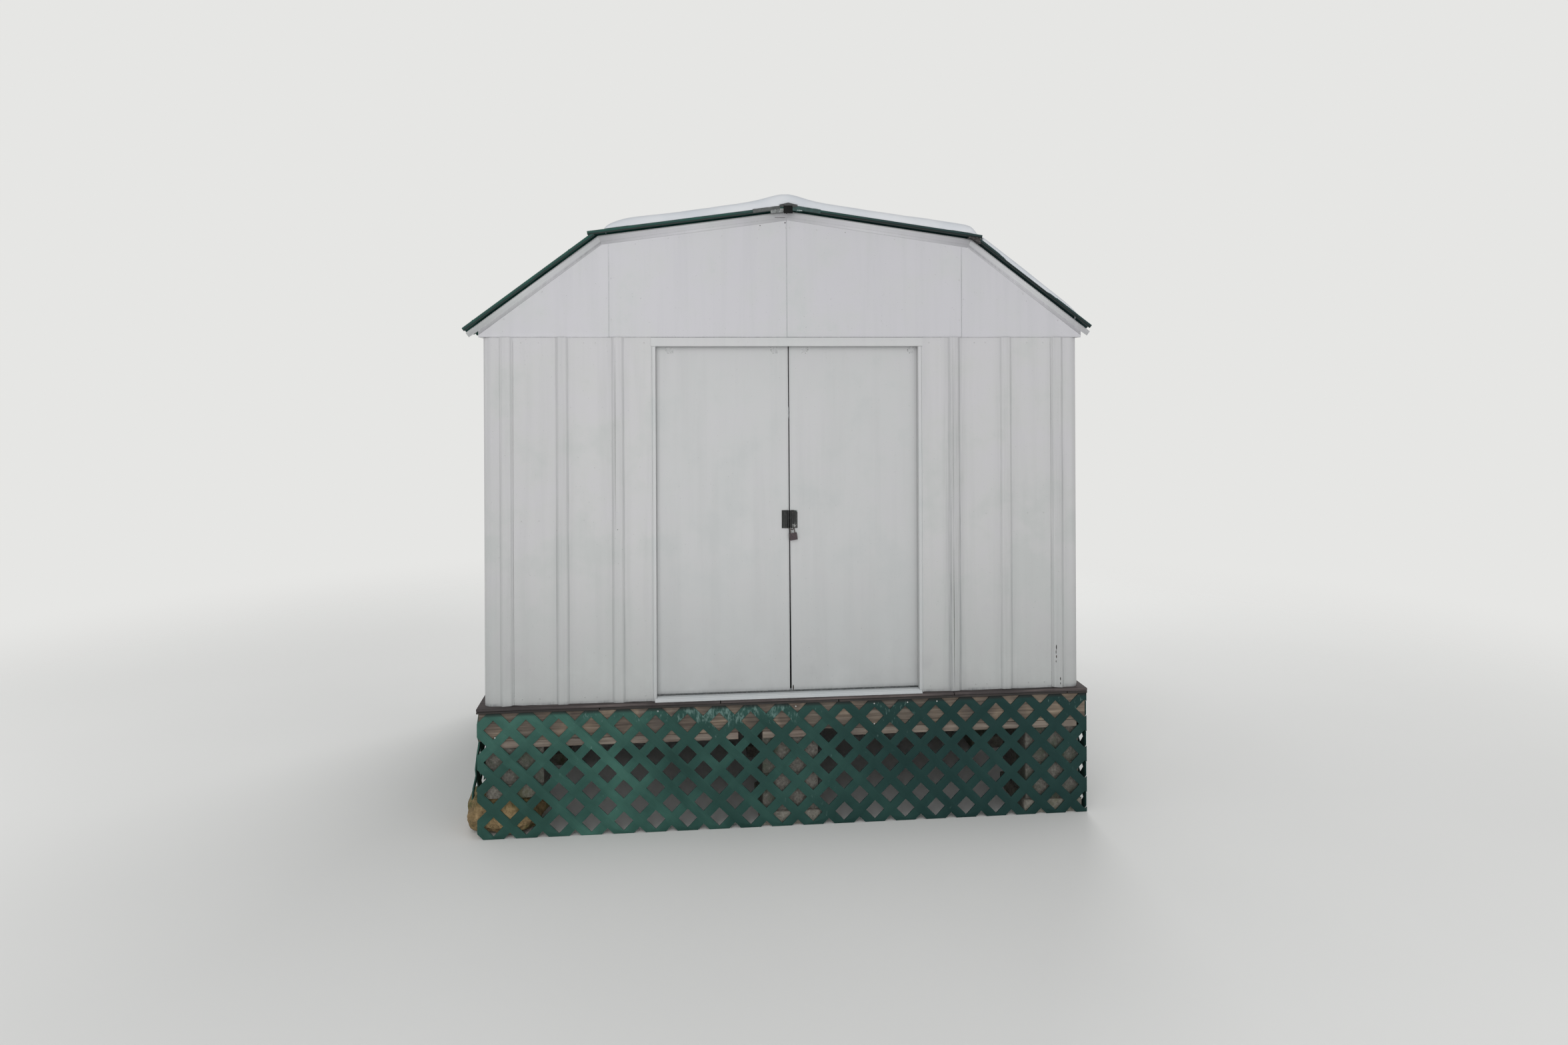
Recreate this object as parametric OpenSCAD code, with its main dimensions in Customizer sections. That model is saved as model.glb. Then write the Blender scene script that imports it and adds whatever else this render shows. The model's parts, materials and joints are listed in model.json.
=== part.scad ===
// Sheet-steel garden shed with a barn-shaped roof and two sliding doors,
// standing on a timber platform that is skirted with diagonal lattice.
// The front faces -Y, +X is to the right seen from the front, +Z is up.
// The origin is on the ground under the middle of the shed.

/* [Shed walls] */
// Width of the shed over the wall sheets
wall_w = 3094; // [2400:2:3600]
// Depth of the shed over the wall sheets
wall_d = 2360; // [1900:10:3000]
// Thickness of every formed steel sheet
sheet_t = 1.5; // [0.8:0.1:2]
// Outside radius of the rounded wall corners
corner_r = 45; // [20:1:55]
// Length of each leg of a corner panel
corner_leg = 150; // [150:1:180]
// Distance from the corner to the corner panel's rib
corner_rib = 115; // [100:1:115]
// Width of a wall rib at its foot
rib_foot = 60; // [30:1:60]
// Width of a wall rib at its crest
rib_crest = 40; // [10:1:44]
// Height of a wall rib
rib_h = 8; // [4:1:12]
// Distance from the door opening to the nearest wall rib
rib_door = 193; // [70:1:220]
// Width of the gap where two sheets meet
seam_gap = 1; // [0.5:0.1:3]
// Clearance between sheets that lie on one another
seat = 0.2; // [0.1:0.05:0.3]

/* [Roof] */
// Height of the ridge above the walls
ridge_rise = 652; // [560:1:800]
// Half the width between the two bends of the roof
knee_x = 970; // [850:1:1050]
// Height of the bends above the walls
knee_rise = 516; // [420:1:540]
// Overhang of the roof edge beyond the side walls
eave_over = 68; // [60:1:110]
// Height of the roof edge above the walls
eave_rise = 32; // [20:1:50]
// Overhang of the gables beyond the side walls
gable_over = 18; // [10:1:40]
// Distance from the middle to the outer gable seams
gable_seam_x = 917; // [600:1:918]
// Overhang of the roof beyond the front and rear walls
roof_over = 30; // [20:1:90]
// Height of a roof rib
roof_rib_h = 26; // [20:1:34]
// Width of a roof rib at its crest
roof_crest = 44; // [30:1:46]
// Width of each sloping side of a roof rib
roof_flank = 12; // [6:1:14]
// Depth of the turned-down lip at the gable ends of the roof
roof_lip = 18; // [8:1:19]
// Number of bays between the ribs of a roof sheet
roof_bays = 9; // [5:1:12]
// Projection of the upper roof sheets beyond the bends
knee_over = 50; // [20:1:70]
// Projection of the lower roof sheets beyond the rake trim, along the slope
tip_over = -6; // [-20:1:40]
// Half the width of the ridge cap
cap_half = 47; // [35:1:80]
// Width of the hems of the folded eave
eave_hem = 58; // [40:1:70]
// Height of the white trim under the roof edges
trim_h = 28; // [15:1:40]
// Thickness of the folded trim in front of the gables
trim_t = 4; // [2:0.5:6]

/* [Snow] */
// Depth of the snow on the upper roof, over the ribs
snow_depth = 43; // [20:1:80]
// Extra depth of the snow over the ridge
snow_ridge = 22; // [0:1:40]
// Depth of the snow on the lower right roof, over the ribs
low_snow_depth = 30; // [12:1:60]
// Width of the rounded edges of the snow
snow_edge = 80; // [40:1:120]

/* [Doors] */
// Width of the door opening
door_open_w = 1362; // [1100:2:1400]
// Height of the door opening above the deck
door_open_h = 1811; // [1650:1:2000]
// Height of the header between the opening and the gable
header_h = 47; // [46:1:120]
// Width of the trim beside the opening
jamb_w = 25; // [15:1:40]
// Depth of the returns round the opening
jamb_return = 30; // [15:1:40]
// Thickness of a door
door_t = 22; // [16:1:28]
// Gap between the two closed doors
door_gap = 9; // [7:1:14]
// Distance of the closed doors to the right of the middle
door_shift = 9; // [0:1:9]
// Overlap of each door behind its jamb
door_lap = 16; // [14:1:30]
// Rise of a door behind the header
door_lift = 17; // [8:1:20]
// Clearance between a moving door and what it passes
door_clear = 6; // [5:0.5:10]
// Width of the flanges on the back of a door
door_flange = 15; // [10:1:25]
// Height of the stiffening channels in a door
brace_h = 60; // [40:1:90]
// Height of the middle of the handles above the deck
handle_z = 913; // [700:1:1100]
// Height of a handle plate
handle_h = 94; // [60:1:120]
// Width of a handle plate
handle_w = 32; // [24:1:50]
// Thickness of a handle plate
handle_t = 3; // [2:0.5:4]
// Depth of the handle lips that take the padlock
handle_lip = 20; // [18:1:22]
// Radius of a hanger roller
roller_r = 14; // [8:1:16]

/* [Padlock] */
// Width of the padlock body
lock_w = 40; // [30:1:50]
// Height of the padlock body
lock_h = 36; // [25:1:50]
// Thickness of the padlock body
lock_t = 16; // [10:1:16]
// Lean of the hanging padlock
lock_lean = 9; // [0:1:10]
// Radius of the shackle bar
shackle_r = 2.5; // [2:0.5:3]
// Spread between the middles of the shackle legs
shackle_w = 21; // [18:1:24]
// Length of the straight shackle legs
shackle_leg = 28; // [12:1:30]

/* [Platform] */
// Thickness of the plywood deck
deck_t = 15; // [9:1:25]
// Thickness of the board under the plywood
subfloor_t = 12; // [6:1:20]
// Projection of the deck beyond the walls
deck_over = 33; // [24:1:60]
// Height of the rim boards and joists
rim_h = 140; // [90:1:190]
// Thickness of the timbers
timber_t = 38; // [25:1:50]
// Width of the sill boards
sill_w = 89; // [60:1:140]
// Number of joists between the side rims
joists = 7; // [4:1:9]
// Width of a concrete block
block_w = 290; // [190:10:300]
// Length of a concrete block
block_l = 390; // [290:10:400]
// Height of a concrete block
block_h = 190; // [140:10:200]
// Height of the slabs under the piers
slab_t = 70; // [50:1:90]
// Clear width of the middle stretch without a front sill board
sill_break = 537; // [400:1:700]

/* [Lattice] */
// Distance from one slat to the next, square to the slats
lattice_pitch = 114; // [90:1:150]
// Width of a slat
slat_w = 46; // [30:1:60]
// Thickness of the lattice sheet
lattice_t = 6; // [4:1:10]
// Gap between the deck and the top of the lattice
lattice_gap = 1; // [1:1:10]
// Shift of the pattern to the left
lattice_phase = 1; // [0:1:40]

/* [Hidden] */
eps = 1;
merge = 0.01;

// Heights, from the ground up
wall_h = door_open_h + header_h;
block_z0 = slab_t;
sill_z = slab_t + 2 * block_h;
rim_z = sill_z + timber_t;
subfloor_z = rim_z + rim_h;
deck_z = subfloor_z + subfloor_t;
floor_z = deck_z + deck_t;
wall_top = floor_z + wall_h;

// Plan of the platform
half_w = wall_w / 2;
half_d = wall_d / 2;
deck_half_w = half_w + deck_over;
deck_half_d = half_d + deck_over;
lattice_set = 4;
lattice_half_w = deck_half_w - lattice_set;
lattice_half_d = deck_half_d - lattice_set;
rim_half_w = lattice_half_w - lattice_t;
rim_half_d = lattice_half_d - lattice_t;
sheet_gap = 3;
deck_sheet_w = 1220;
sill_end = 45;
block_end = 30;
block_set = 20;
pier_x = rim_half_w - block_end - block_w / 2;
pier_y = rim_half_d - block_set - block_l / 2;
slab_margin = 15;
core_wall = 32;
stone_h = block_h;
stone_reach = 60;
stone_w = 370;
stone_clear = 12;

// Roof line: the top of the rake trim and the underside of the roof sheets
ridge_z = wall_top + ridge_rise;
knee_z = wall_top + knee_rise;
eave_x = half_w + eave_over;
eave_z = wall_top + eave_rise;
gable_half = half_w + gable_over;
roof_line = [[-eave_x, eave_z], [-knee_x, knee_z], [0, ridge_z], [knee_x, knee_z], [eave_x, eave_z]];
upper_angle = atan2(knee_z - ridge_z, knee_x);
lower_angle = atan2(eave_z - knee_z, eave_x - knee_x);
upper_len = norm([knee_x, ridge_z - knee_z]);
lower_len = norm([eave_x - knee_x, knee_z - eave_z]);
roof_half = half_d + roof_over;
ridge_gap = 4;
knee_gap = 12;
beam_half = 44;
beam_depth = 60;
beam_foot = 15;

// Snow: its ends across the roof, its thinning towards an end as shares of snow_edge and
// of the depth, and the half widths of the crown over the ridge
snow_left = -knee_x + 2;
snow_right = knee_x + knee_over - 14;
low_snow_left = knee_x + knee_over + 6;
low_snow_right = eave_x - 70;
snow_round = [[0, 0.1], [0.2, 0.45], [0.55, 0.82], [1, 1]];
crown_top = 90;
crown_foot = 210;
cap_under = roof_rib_h + 2 * seat;
cap_top = cap_under + sheet_t;

// Depths behind the front wall face
door_u = jamb_return + door_clear;
door_back = door_u + door_t;
hanger_t = 2;
track_u = door_back + hanger_t + door_clear;
roller_in = 4;
roller_u = track_u + roller_in;
roller_t = 10;
roller_room = 12;
track_w = roller_in + roller_t + roller_room;
track_back = track_u + track_w;
track_rise = 2;
track_z = wall_top + track_rise;
track_head = 20;
track_h = 2 * roller_r + track_head;
track_end = 10;
track_half = half_w - corner_r - track_end;
roller_seat = 0.3;
axle_end = 2;
roller_z = track_z + sheet_t + roller_seat + roller_r;

// Doors
door_half = door_open_w / 2;
door_w = door_half + door_lap - door_gap / 2;
threshold_h = 17;
threshold_reach = 28;
threshold_side = 21;
door_z = floor_z + threshold_h + door_clear;
door_h = floor_z + door_open_h + door_lift - door_z;
door_head_z = floor_z + door_open_h;
track_flange_z = door_z + door_h + door_clear + seam_gap;
guide_h = 25;
angle_w = 40;
hanger_w = 50;
hanger_inset = 65;
brace_zs = [0.2, 0.5, 0.8];
axle_r = 4;

// Handles and padlock
lip_left_x = -13;
lip_right_x = 5.5;
lip_t = 1.5;
lock_in = 8;
lock_up = 16;
lock_u = door_u - handle_t - handle_lip + lock_in;
lip_hole_r = 5;
shackle_rest = 0.5;
lock_hole_z = floor_z + handle_z - handle_h / 2 + lock_up;
shackle_x = lip_right_x + lip_t / 2;
lock_edge = 3;

// Framing inside the walls
channel_h = 60;
channel_d = 22;
channel_z = floor_z + wall_h / 2;
brace_w = 50;
brace_d = 20;
top_channel_h = 70;
wall_bays_side = 8;
wall_bays_rear = 10;
front_rib_count = 2;
front_pitch = (half_w - corner_rib - door_half - rib_door) / front_rib_count;

// Left-hand unit normal of the segment from a to b
function seg_normal(a, b) = [a.y - b.y, b.x - a.x] / norm(b - a);

// A polyline moved to its left by t, with mitred bends
function moved(pts, t) = [
    for (i = [0 : len(pts) - 1])
        let (n1 = seg_normal(pts[max(i - 1, 0)], pts[max(i, 1)]))
        let (n2 = seg_normal(pts[min(i, len(pts) - 2)], pts[min(i + 1, len(pts) - 1)]))
        pts[i] + (n1 + n2) * t / (1 + n1 * n2)
];

function reversed(pts) = [for (i = [len(pts) - 1 : -1 : 0]) pts[i]];

// Points of an arc of radius r round c, from angle a to angle b
function arc(c, r, a, b, steps) = [
    for (i = [0 : steps])
        let (v = a + (b - a) * i / steps)
        c + r * [cos(v), sin(v)]
];

// Height of the roof line, moved outwards by t, at x
function roof_at(x, t) = lookup(x, moved(roof_line, t));

// Points of a roof line moved outwards by t, between two places
function roof_part(xa, xb, t) = concat(
    [[xa, roof_at(xa, t)]],
    [for (p = moved(roof_line, t)) if (p.x > xa + merge && p.x < xb - merge) p],
    [[xb, roof_at(xb, t)]]
);

// Outline of a strip along the roof line, from depth t0 to t1, between two places
function roof_strip(xa, xb, t0, t1) =
    concat(roof_part(xa, xb, t0), reversed(roof_part(xa, xb, t1)));

// Height at x of the plane t above the upper roof slopes
function upper_at(x, t) = ridge_z + abs(x) * tan(upper_angle) + t / cos(upper_angle);

// Height at x of the plane t above the lower right roof slope
function lower_at(x, t) = knee_z + (x - knee_x) * tan(lower_angle) + t / cos(lower_angle);

// Places from a to b across the roof with the share of the full depth at each,
// thinned over the widths edge_a and edge_b at the ends
function snow_places(a, b, edge_a, edge_b, between) = concat(
    [for (r = snow_round) [a + r.x * edge_a, r.y]],
    between,
    [for (r = reversed(snow_round)) [b - r.x * edge_b, r.y]]
);

// Crest of one wall rib with its middle at c; the wall's outer face is on y = 0
function rib(c) = [
    [c - rib_foot / 2, 0],
    [c - rib_crest / 2, -rib_h],
    [c + rib_crest / 2, -rib_h],
    [c + rib_foot / 2, 0]
];

function joined(lists) = [for (l = lists) for (p = l) p];

// Outline of a bent sheet whose outer face follows the path
module bent_sheet(path) {
    polygon(concat(path, reversed(moved(path, sheet_t))));
}

// Stands a plan outline up between two heights
module upright(z0, z1) {
    translate([0, 0, z0])
        linear_extrude(z1 - z0)
            children();
}

// Runs an outline drawn in X and Z along Y
module along_y(y0, y1) {
    translate([0, y1, 0])
        rotate([90, 0, 0])
            linear_extrude(y1 - y0)
                children();
}

// Runs an outline drawn in Y and Z along X
module along_x(x0, x1) {
    translate([x0, 0, 0])
        rotate([90, 0, 90])
            linear_extrude(x1 - x0)
                children();
}

module both_sides() {
    children();
    mirror([1, 0, 0])
        children();
}

module front_and_rear() {
    children();
    mirror([0, 1, 0])
        children();
}

// One ribbed wall sheet from a to b along X, with its outer face on y = 0
module wall_sheet(a, b, ribs) {
    crests = [for (c = ribs) if (c > a && c < b) rib(c)];
    upright(floor_z, wall_top)
        bent_sheet(concat([[a, 0]], joined(crests), [[b, 0]]));
}

// Three ribbed sheets that fill a wall between its corner panels
module wall_run(half_len, bays) {
    edge = half_len - corner_leg - seam_gap;
    first = half_len - corner_rib;
    pitch = 2 * first / bays;
    ribs = [for (i = [1 : bays - 1]) -first + i * pitch];
    joint = pitch * 1.5;
    wall_sheet(-edge, -joint - seam_gap / 2, ribs);
    wall_sheet(-joint + seam_gap / 2, joint - seam_gap / 2, ribs);
    wall_sheet(joint + seam_gap / 2, edge, ribs);
}

// Rounded corner panel with one rib on each leg
module corner_panel() {
    leg_ribs = rib(corner_rib);
    side_leg = [for (p = reversed(leg_ribs)) [p.y, p.x]];
    path = concat(
        [[0, corner_leg]],
        side_leg,
        arc([corner_r, corner_r], corner_r, 180, 270, 10),
        leg_ribs,
        [[corner_leg, 0]]
    );
    upright(floor_z, wall_top)
        bent_sheet(path);
}

// Lattice sheet in X and Z from its upper left corner, with square openings on their points
module lattice(len_x, height) {
    side = lattice_pitch - slat_w;
    step = lattice_pitch * sqrt(2) / 2;
    difference() {
        translate([0, -height])
            square([len_x, height]);
        for (row = [0 : floor(height / step) + 1], col = [0 : floor(len_x / step) + 1])
            if ((row + col) % 2 == 0)
                translate([col * step - lattice_phase, -row * step])
                    rotate(45)
                        square(side, center = true);
    }
}

// Hollow concrete block with two cores, with its foot at z = 0
module block() {
    core_l = (block_l - 3 * core_wall) / 2;
    difference() {
        translate([-block_w / 2, -block_l / 2, 0])
            cube([block_w, block_l, block_h]);
        for (s = [-1, 1])
            translate([-block_w / 2 + core_wall, s * (core_l + core_wall) / 2 - core_l / 2, -eps])
                cube([block_w - 2 * core_wall, core_l, block_h + 2 * eps]);
    }
}

// Puts a child at each of the nine piers, with or without the front left one
module at_piers(corner_too) {
    for (i = [-1 : 1], j = [-1 : 1])
        if (corner_too || i > -1 || j > -1)
            translate([i * pier_x, j * pier_y, 0])
                children();
}

module footing_slabs() {
    slab_w = block_w + 2 * slab_margin;
    slab_l = block_l + 2 * slab_margin;
    color("#8f8c86") {
        at_piers(false)
            translate([-slab_w / 2, -slab_l / 2, 0])
                cube([slab_w, slab_l, slab_t]);
        translate([-pier_x - block_w / 2, -pier_y - block_l / 2, stone_h])
            cube([block_w, block_l, slab_t]);
    }
}

// Fieldstone under the front left corner, flat on top
module corner_stone() {
    cx = -lattice_half_w - stone_reach + stone_w / 2;
    cy = -rim_half_d + stone_w / 2;
    color("#8a7556")
        translate([cx, cy, stone_h / 2])
            intersection() {
                sphere(r = stone_w * 0.55, $fn = 48);
                cube([stone_w, stone_w, stone_h], center = true);
                rotate([12, 8, 38])
                    cube([stone_w * 0.98, stone_w, stone_h * 1.5], center = true);
                rotate([-10, 14, 68])
                    cube([stone_w * 1.02, stone_w * 0.98, stone_h * 1.5], center = true);
            }
}

module lower_blocks() {
    color("#9a9891")
        translate([0, 0, block_z0])
            at_piers(false)
                block();
}

module upper_blocks() {
    color("#9a9891")
        translate([0, 0, block_z0 + block_h])
            at_piers(true)
                block();
}

module sill_boards() {
    end = rim_half_w - sill_end;
    color("#b5b0a6") {
        both_sides()
            translate([sill_break / 2, -rim_half_d, sill_z])
                cube([end - sill_break / 2, sill_w, timber_t]);
        translate([-block_w / 2, -rim_half_d, sill_z])
            cube([block_w, sill_w, timber_t]);
        translate([-end, -sill_w / 2, sill_z])
            cube([2 * end, sill_w, timber_t]);
        translate([-end, rim_half_d - sill_w, sill_z])
            cube([2 * end, sill_w, timber_t]);
    }
}

module long_rims() {
    color("#9a8f84")
        front_and_rear()
            translate([-rim_half_w, -rim_half_d, rim_z])
                cube([2 * rim_half_w, timber_t, rim_h]);
}

module side_rims() {
    color("#94897e")
        both_sides()
            translate([rim_half_w - timber_t, -rim_half_d + timber_t, rim_z])
                cube([timber_t, 2 * (rim_half_d - timber_t), rim_h]);
}

module floor_joists() {
    pitch = 2 * (rim_half_w - timber_t / 2) / (joists + 1);
    color("#a08a6c")
        for (i = [1 : joists])
            translate([-rim_half_w + i * pitch, -rim_half_d + timber_t, rim_z])
                cube([timber_t, 2 * (rim_half_d - timber_t), rim_h]);
}

// Boards of the deck in one layer, from the left edge, with joints every sheet width
module deck_layer(z, t, first_w) {
    edges = concat(
        [-deck_half_w],
        [for (x = [-deck_half_w + first_w : deck_sheet_w : deck_half_w - sheet_gap]) x],
        [deck_half_w]
    );
    for (i = [0 : len(edges) - 2])
        translate([edges[i] + (i > 0 ? sheet_gap / 2 : 0), -deck_half_d, z])
            cube([
                edges[i + 1] - edges[i] - sheet_gap / (i > 0 && i < len(edges) - 2 ? 1 : 2),
                2 * deck_half_d,
                t
            ]);
}

module subfloor_boards() {
    color("#4d4641")
        deck_layer(subfloor_z, subfloor_t, deck_sheet_w / 2);
}

module deck_sheets() {
    color("#6a655f")
        deck_layer(deck_z, deck_t, deck_sheet_w);
}

module front_lattice() {
    color("#2f5d50")
        translate([0, 0, subfloor_z - lattice_gap])
            along_y(-lattice_half_d, -lattice_half_d + lattice_t)
                translate([-lattice_half_w, 0])
                    lattice(2 * lattice_half_w, subfloor_z - lattice_gap);
}

module rear_lattice() {
    rotate([0, 0, 180])
        front_lattice();
}

module side_lattice() {
    color("#2f5d50")
        translate([0, 0, subfloor_z - lattice_gap])
            along_x(rim_half_w, lattice_half_w)
                translate([-rim_half_d, 0])
                    lattice(2 * rim_half_d, subfloor_z - lattice_gap);
}

module right_lattice() {
    side_lattice();
}

// The left lattice is cut away over the corner stone
module left_lattice() {
    difference() {
        mirror([1, 0, 0])
            side_lattice();
        translate([-lattice_half_w - eps, -lattice_half_d, -eps])
            cube([
                lattice_t + 2 * eps,
                stone_w + lattice_t + stone_clear,
                stone_h + stone_clear
            ]);
    }
}

// Sloping sill in front of the doors, with a raised shelf between the jambs
module threshold() {
    ramp = [
        [-threshold_reach, floor_z],
        [-threshold_reach, floor_z + 2 * sheet_t],
        [-2 * sheet_t, floor_z + threshold_h],
        [-2 * sheet_t, floor_z]
    ];
    shelf = [
        [-2 * sheet_t, floor_z],
        [-2 * sheet_t, floor_z + threshold_h],
        [jamb_return, floor_z + threshold_h],
        [jamb_return, floor_z],
        [jamb_return - sheet_t, floor_z],
        [jamb_return - sheet_t, floor_z + threshold_h - sheet_t],
        [-sheet_t, floor_z + threshold_h - sheet_t],
        [-sheet_t, floor_z]
    ];
    side = door_half + threshold_side;
    color("#d9dbdb")
        translate([0, -half_d, 0])
            union() {
                along_x(-side, side)
                    polygon(ramp);
                along_x(-door_half, door_half)
                    polygon(shelf);
            }
}

// Angle along the inside of a wall: leg up the wall and flange on the deck
function angle_path(u) = [[u + angle_w, floor_z], [u, floor_z], [u, floor_z + guide_h]];

// Floor angles; the front one stands behind the doors and guides their lower edges
module floor_frame() {
    guide_u = door_back + door_clear;
    side_end = half_d - max(corner_r, sheet_t + angle_w) - seam_gap;
    front_end = half_w - max(corner_r, sheet_t + angle_w) - seam_gap;
    color("#b9bdbf") {
        translate([0, -half_d, 0])
            along_x(-front_end, front_end)
                bent_angle(guide_u);
        mirror([0, 1, 0])
            translate([0, -half_d, 0])
                along_x(-front_end, front_end)
                    bent_angle(sheet_t);
        both_sides()
            rotate([0, 0, -90])
                translate([0, -half_w, 0])
                    mirror([1, 0, 0])
                        along_x(-side_end, side_end)
                            bent_angle(sheet_t);
    }
}

module bent_angle(u) {
    path = reversed(angle_path(u));
    polygon(concat(path, reversed(moved(path, sheet_t))));
}

module front_corners() {
    color("#d4d6d7")
        both_sides()
            translate([-half_w, -half_d, 0])
                corner_panel();
}

module rear_corners() {
    color("#d4d6d7")
        mirror([0, 1, 0])
            both_sides()
                translate([-half_w, -half_d, 0])
                    corner_panel();
}

module front_right_panel() {
    ribs = [for (i = [0 : front_rib_count - 1]) door_half + rib_door + i * front_pitch];
    color("#d4d6d7")
        translate([0, -half_d, 0])
            wall_sheet(door_half + sheet_t, half_w - corner_leg - seam_gap, ribs);
}

module front_left_panel() {
    mirror([1, 0, 0])
        front_right_panel();
}

module right_wall() {
    color("#d4d6d7")
        rotate([0, 0, 90])
            translate([0, -half_w, 0])
                wall_run(half_d, wall_bays_side);
}

module left_wall() {
    mirror([1, 0, 0])
        right_wall();
}

module rear_wall() {
    color("#d4d6d7")
        rotate([0, 0, 180])
            translate([0, -half_d, 0])
                wall_run(half_w, wall_bays_rear);
}

// Stiffening channel at half height on the side and rear walls
module wall_channels() {
    path = [
        [sheet_t + channel_d, channel_z + channel_h / 2],
        [sheet_t, channel_z + channel_h / 2],
        [sheet_t, channel_z - channel_h / 2],
        [sheet_t + channel_d, channel_z - channel_h / 2]
    ];
    side_end = half_d - corner_leg - seam_gap;
    rear_end = half_w - corner_leg - seam_gap;
    color("#c3c6c8") {
        mirror([0, 1, 0])
            translate([0, -half_d, 0])
                along_x(-rear_end, rear_end)
                    bent_sheet(path);
        both_sides()
            rotate([0, 0, -90])
                translate([0, -half_w, 0])
                    mirror([1, 0, 0])
                        along_x(-side_end, side_end)
                            bent_sheet(path);
    }
}

// Trim strips beside the opening, with returns that hide the door edges
module door_jambs() {
    edge = door_half + sheet_t;
    color("#dfe1e1")
        both_sides()
            translate([0, -half_d, 0])
                union() {
                    upright(floor_z, door_head_z + sheet_t)
                        bent_sheet([[-edge, jamb_return], [-edge, 0], [-door_half - jamb_w, 0]]);
                    upright(floor_z, wall_top)
                        translate([-door_half - jamb_w, -sheet_t])
                            square([jamb_w, sheet_t]);
                }
}

// Trim over the opening, between the jambs, with a return under it
module door_header() {
    path = [[0, wall_top], [0, door_head_z + sheet_t], [jamb_return, door_head_z + sheet_t]];
    color("#dfe1e1")
        translate([0, -half_d, 0])
            along_x(-door_half, door_half)
                polygon(concat(path, reversed(moved(path, -sheet_t))));
}

// Folded channel across the front, whose lower shelf carries the rollers
module door_track() {
    top = track_z + track_h;
    path = [
        [sheet_t, track_flange_z],
        [sheet_t, top],
        [track_back, top],
        [track_back, track_z],
        [track_u, track_z]
    ];
    color("#c3c6c8")
        translate([0, -half_d, 0])
            along_x(-track_half, track_half)
                polygon(concat(path, reversed(moved(path, -sheet_t))));
}

// Angle across the rear, where the wall and the gable meet
module rear_top_channel() {
    top = track_z + track_h;
    path = [[sheet_t, top - top_channel_h], [sheet_t, top], [sheet_t + angle_w, top]];
    color("#c3c6c8")
        mirror([0, 1, 0])
            translate([0, -half_d, 0])
                along_x(-track_half, track_half)
                    polygon(concat(path, reversed(moved(path, -sheet_t))));
}

// Gable sheet between two places, up to the underside of the rake trim
module gable_sheet(xa, xb) {
    along_y(-half_d, -half_d + sheet_t)
        polygon(concat([[xb, wall_top], [xa, wall_top]], roof_part(xa, xb, -sheet_t)));
}

module front_gable_ends() {
    color("#dcdcde")
        both_sides()
            gable_sheet(gable_seam_x + seam_gap / 2, gable_half);
}

module front_gable_centres() {
    color("#dcdcde")
        both_sides()
            gable_sheet(seam_gap / 2, gable_seam_x - seam_gap / 2);
}

module rear_gable() {
    mirror([0, 1, 0]) {
        front_gable_ends();
        front_gable_centres();
    }
}

// Upright channels behind the gable seams
module gable_braces() {
    foot = track_z + track_h;
    path = [
        [-brace_w / 2, brace_d],
        [-brace_w / 2, 0],
        [brace_w / 2, 0],
        [brace_w / 2, brace_d]
    ];
    seam_top = roof_at(gable_seam_x + brace_w / 2, -2 * sheet_t);
    ridge_top = ridge_z - beam_depth - 2 * sheet_t;
    color("#c3c6c8")
        front_and_rear()
            translate([0, -half_d + sheet_t, 0]) {
                upright(foot, ridge_top)
                    bent_sheet(path);
                both_sides()
                    translate([gable_seam_x, 0, 0])
                        upright(foot, seam_top)
                            bent_sheet(path);
            }
}

// Beam under a bend of the roof: bent plate, web and foot, between the gables
module roof_beam(x) {
    z_plate = roof_at(x, 0);
    z_foot = z_plate - beam_depth;
    along_y(-half_d + sheet_t, half_d - sheet_t)
        union() {
            polygon(roof_strip(x - beam_half, x + beam_half, 0, -sheet_t));
            translate([x - sheet_t / 2, z_foot])
                square([sheet_t, beam_depth - sheet_t]);
            translate([x - beam_foot, z_foot])
                square([2 * beam_foot, sheet_t]);
        }
}

module roof_beams() {
    color("#c3c6c8")
        for (x = [-knee_x, 0, knee_x])
            roof_beam(x);
}

// Folded eave: seated on the side wall, flush with the gable ends, under the lower roof
module eave_rails() {
    inner = half_w - sheet_t;
    path = [
        [inner, wall_top - eave_hem],
        [inner, wall_top],
        [gable_half, wall_top],
        [gable_half, roof_at(gable_half, 0)],
        [half_w - eave_hem, roof_at(half_w - eave_hem, 0)]
    ];
    color("#d4d6d7")
        both_sides()
            difference() {
                along_y(-half_d + sheet_t, half_d - sheet_t)
                    bent_sheet(path);
                front_and_rear()
                    translate([inner - corner_r, -half_d, wall_top - eave_hem - eps])
                        cube([corner_r + sheet_t, corner_r + seam_gap, eave_hem + eps]);
            }
}

// White trim along the gable tops: a face strip and a flange over the gable sheet
module rake_trims() {
    color("#e3e4e4")
        front_and_rear()
            both_sides()
                for (part = [[seam_gap / 2, knee_x - seam_gap / 2], [knee_x + seam_gap / 2, eave_x]])
                    union() {
                        along_y(-half_d - trim_t, -half_d)
                            polygon(roof_strip(part[0], part[1], 0, -trim_h));
                        along_y(-half_d - trim_t, -half_d + sheet_t)
                            polygon(roof_strip(part[0], part[1], 0, -sheet_t));
                    }
}

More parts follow.
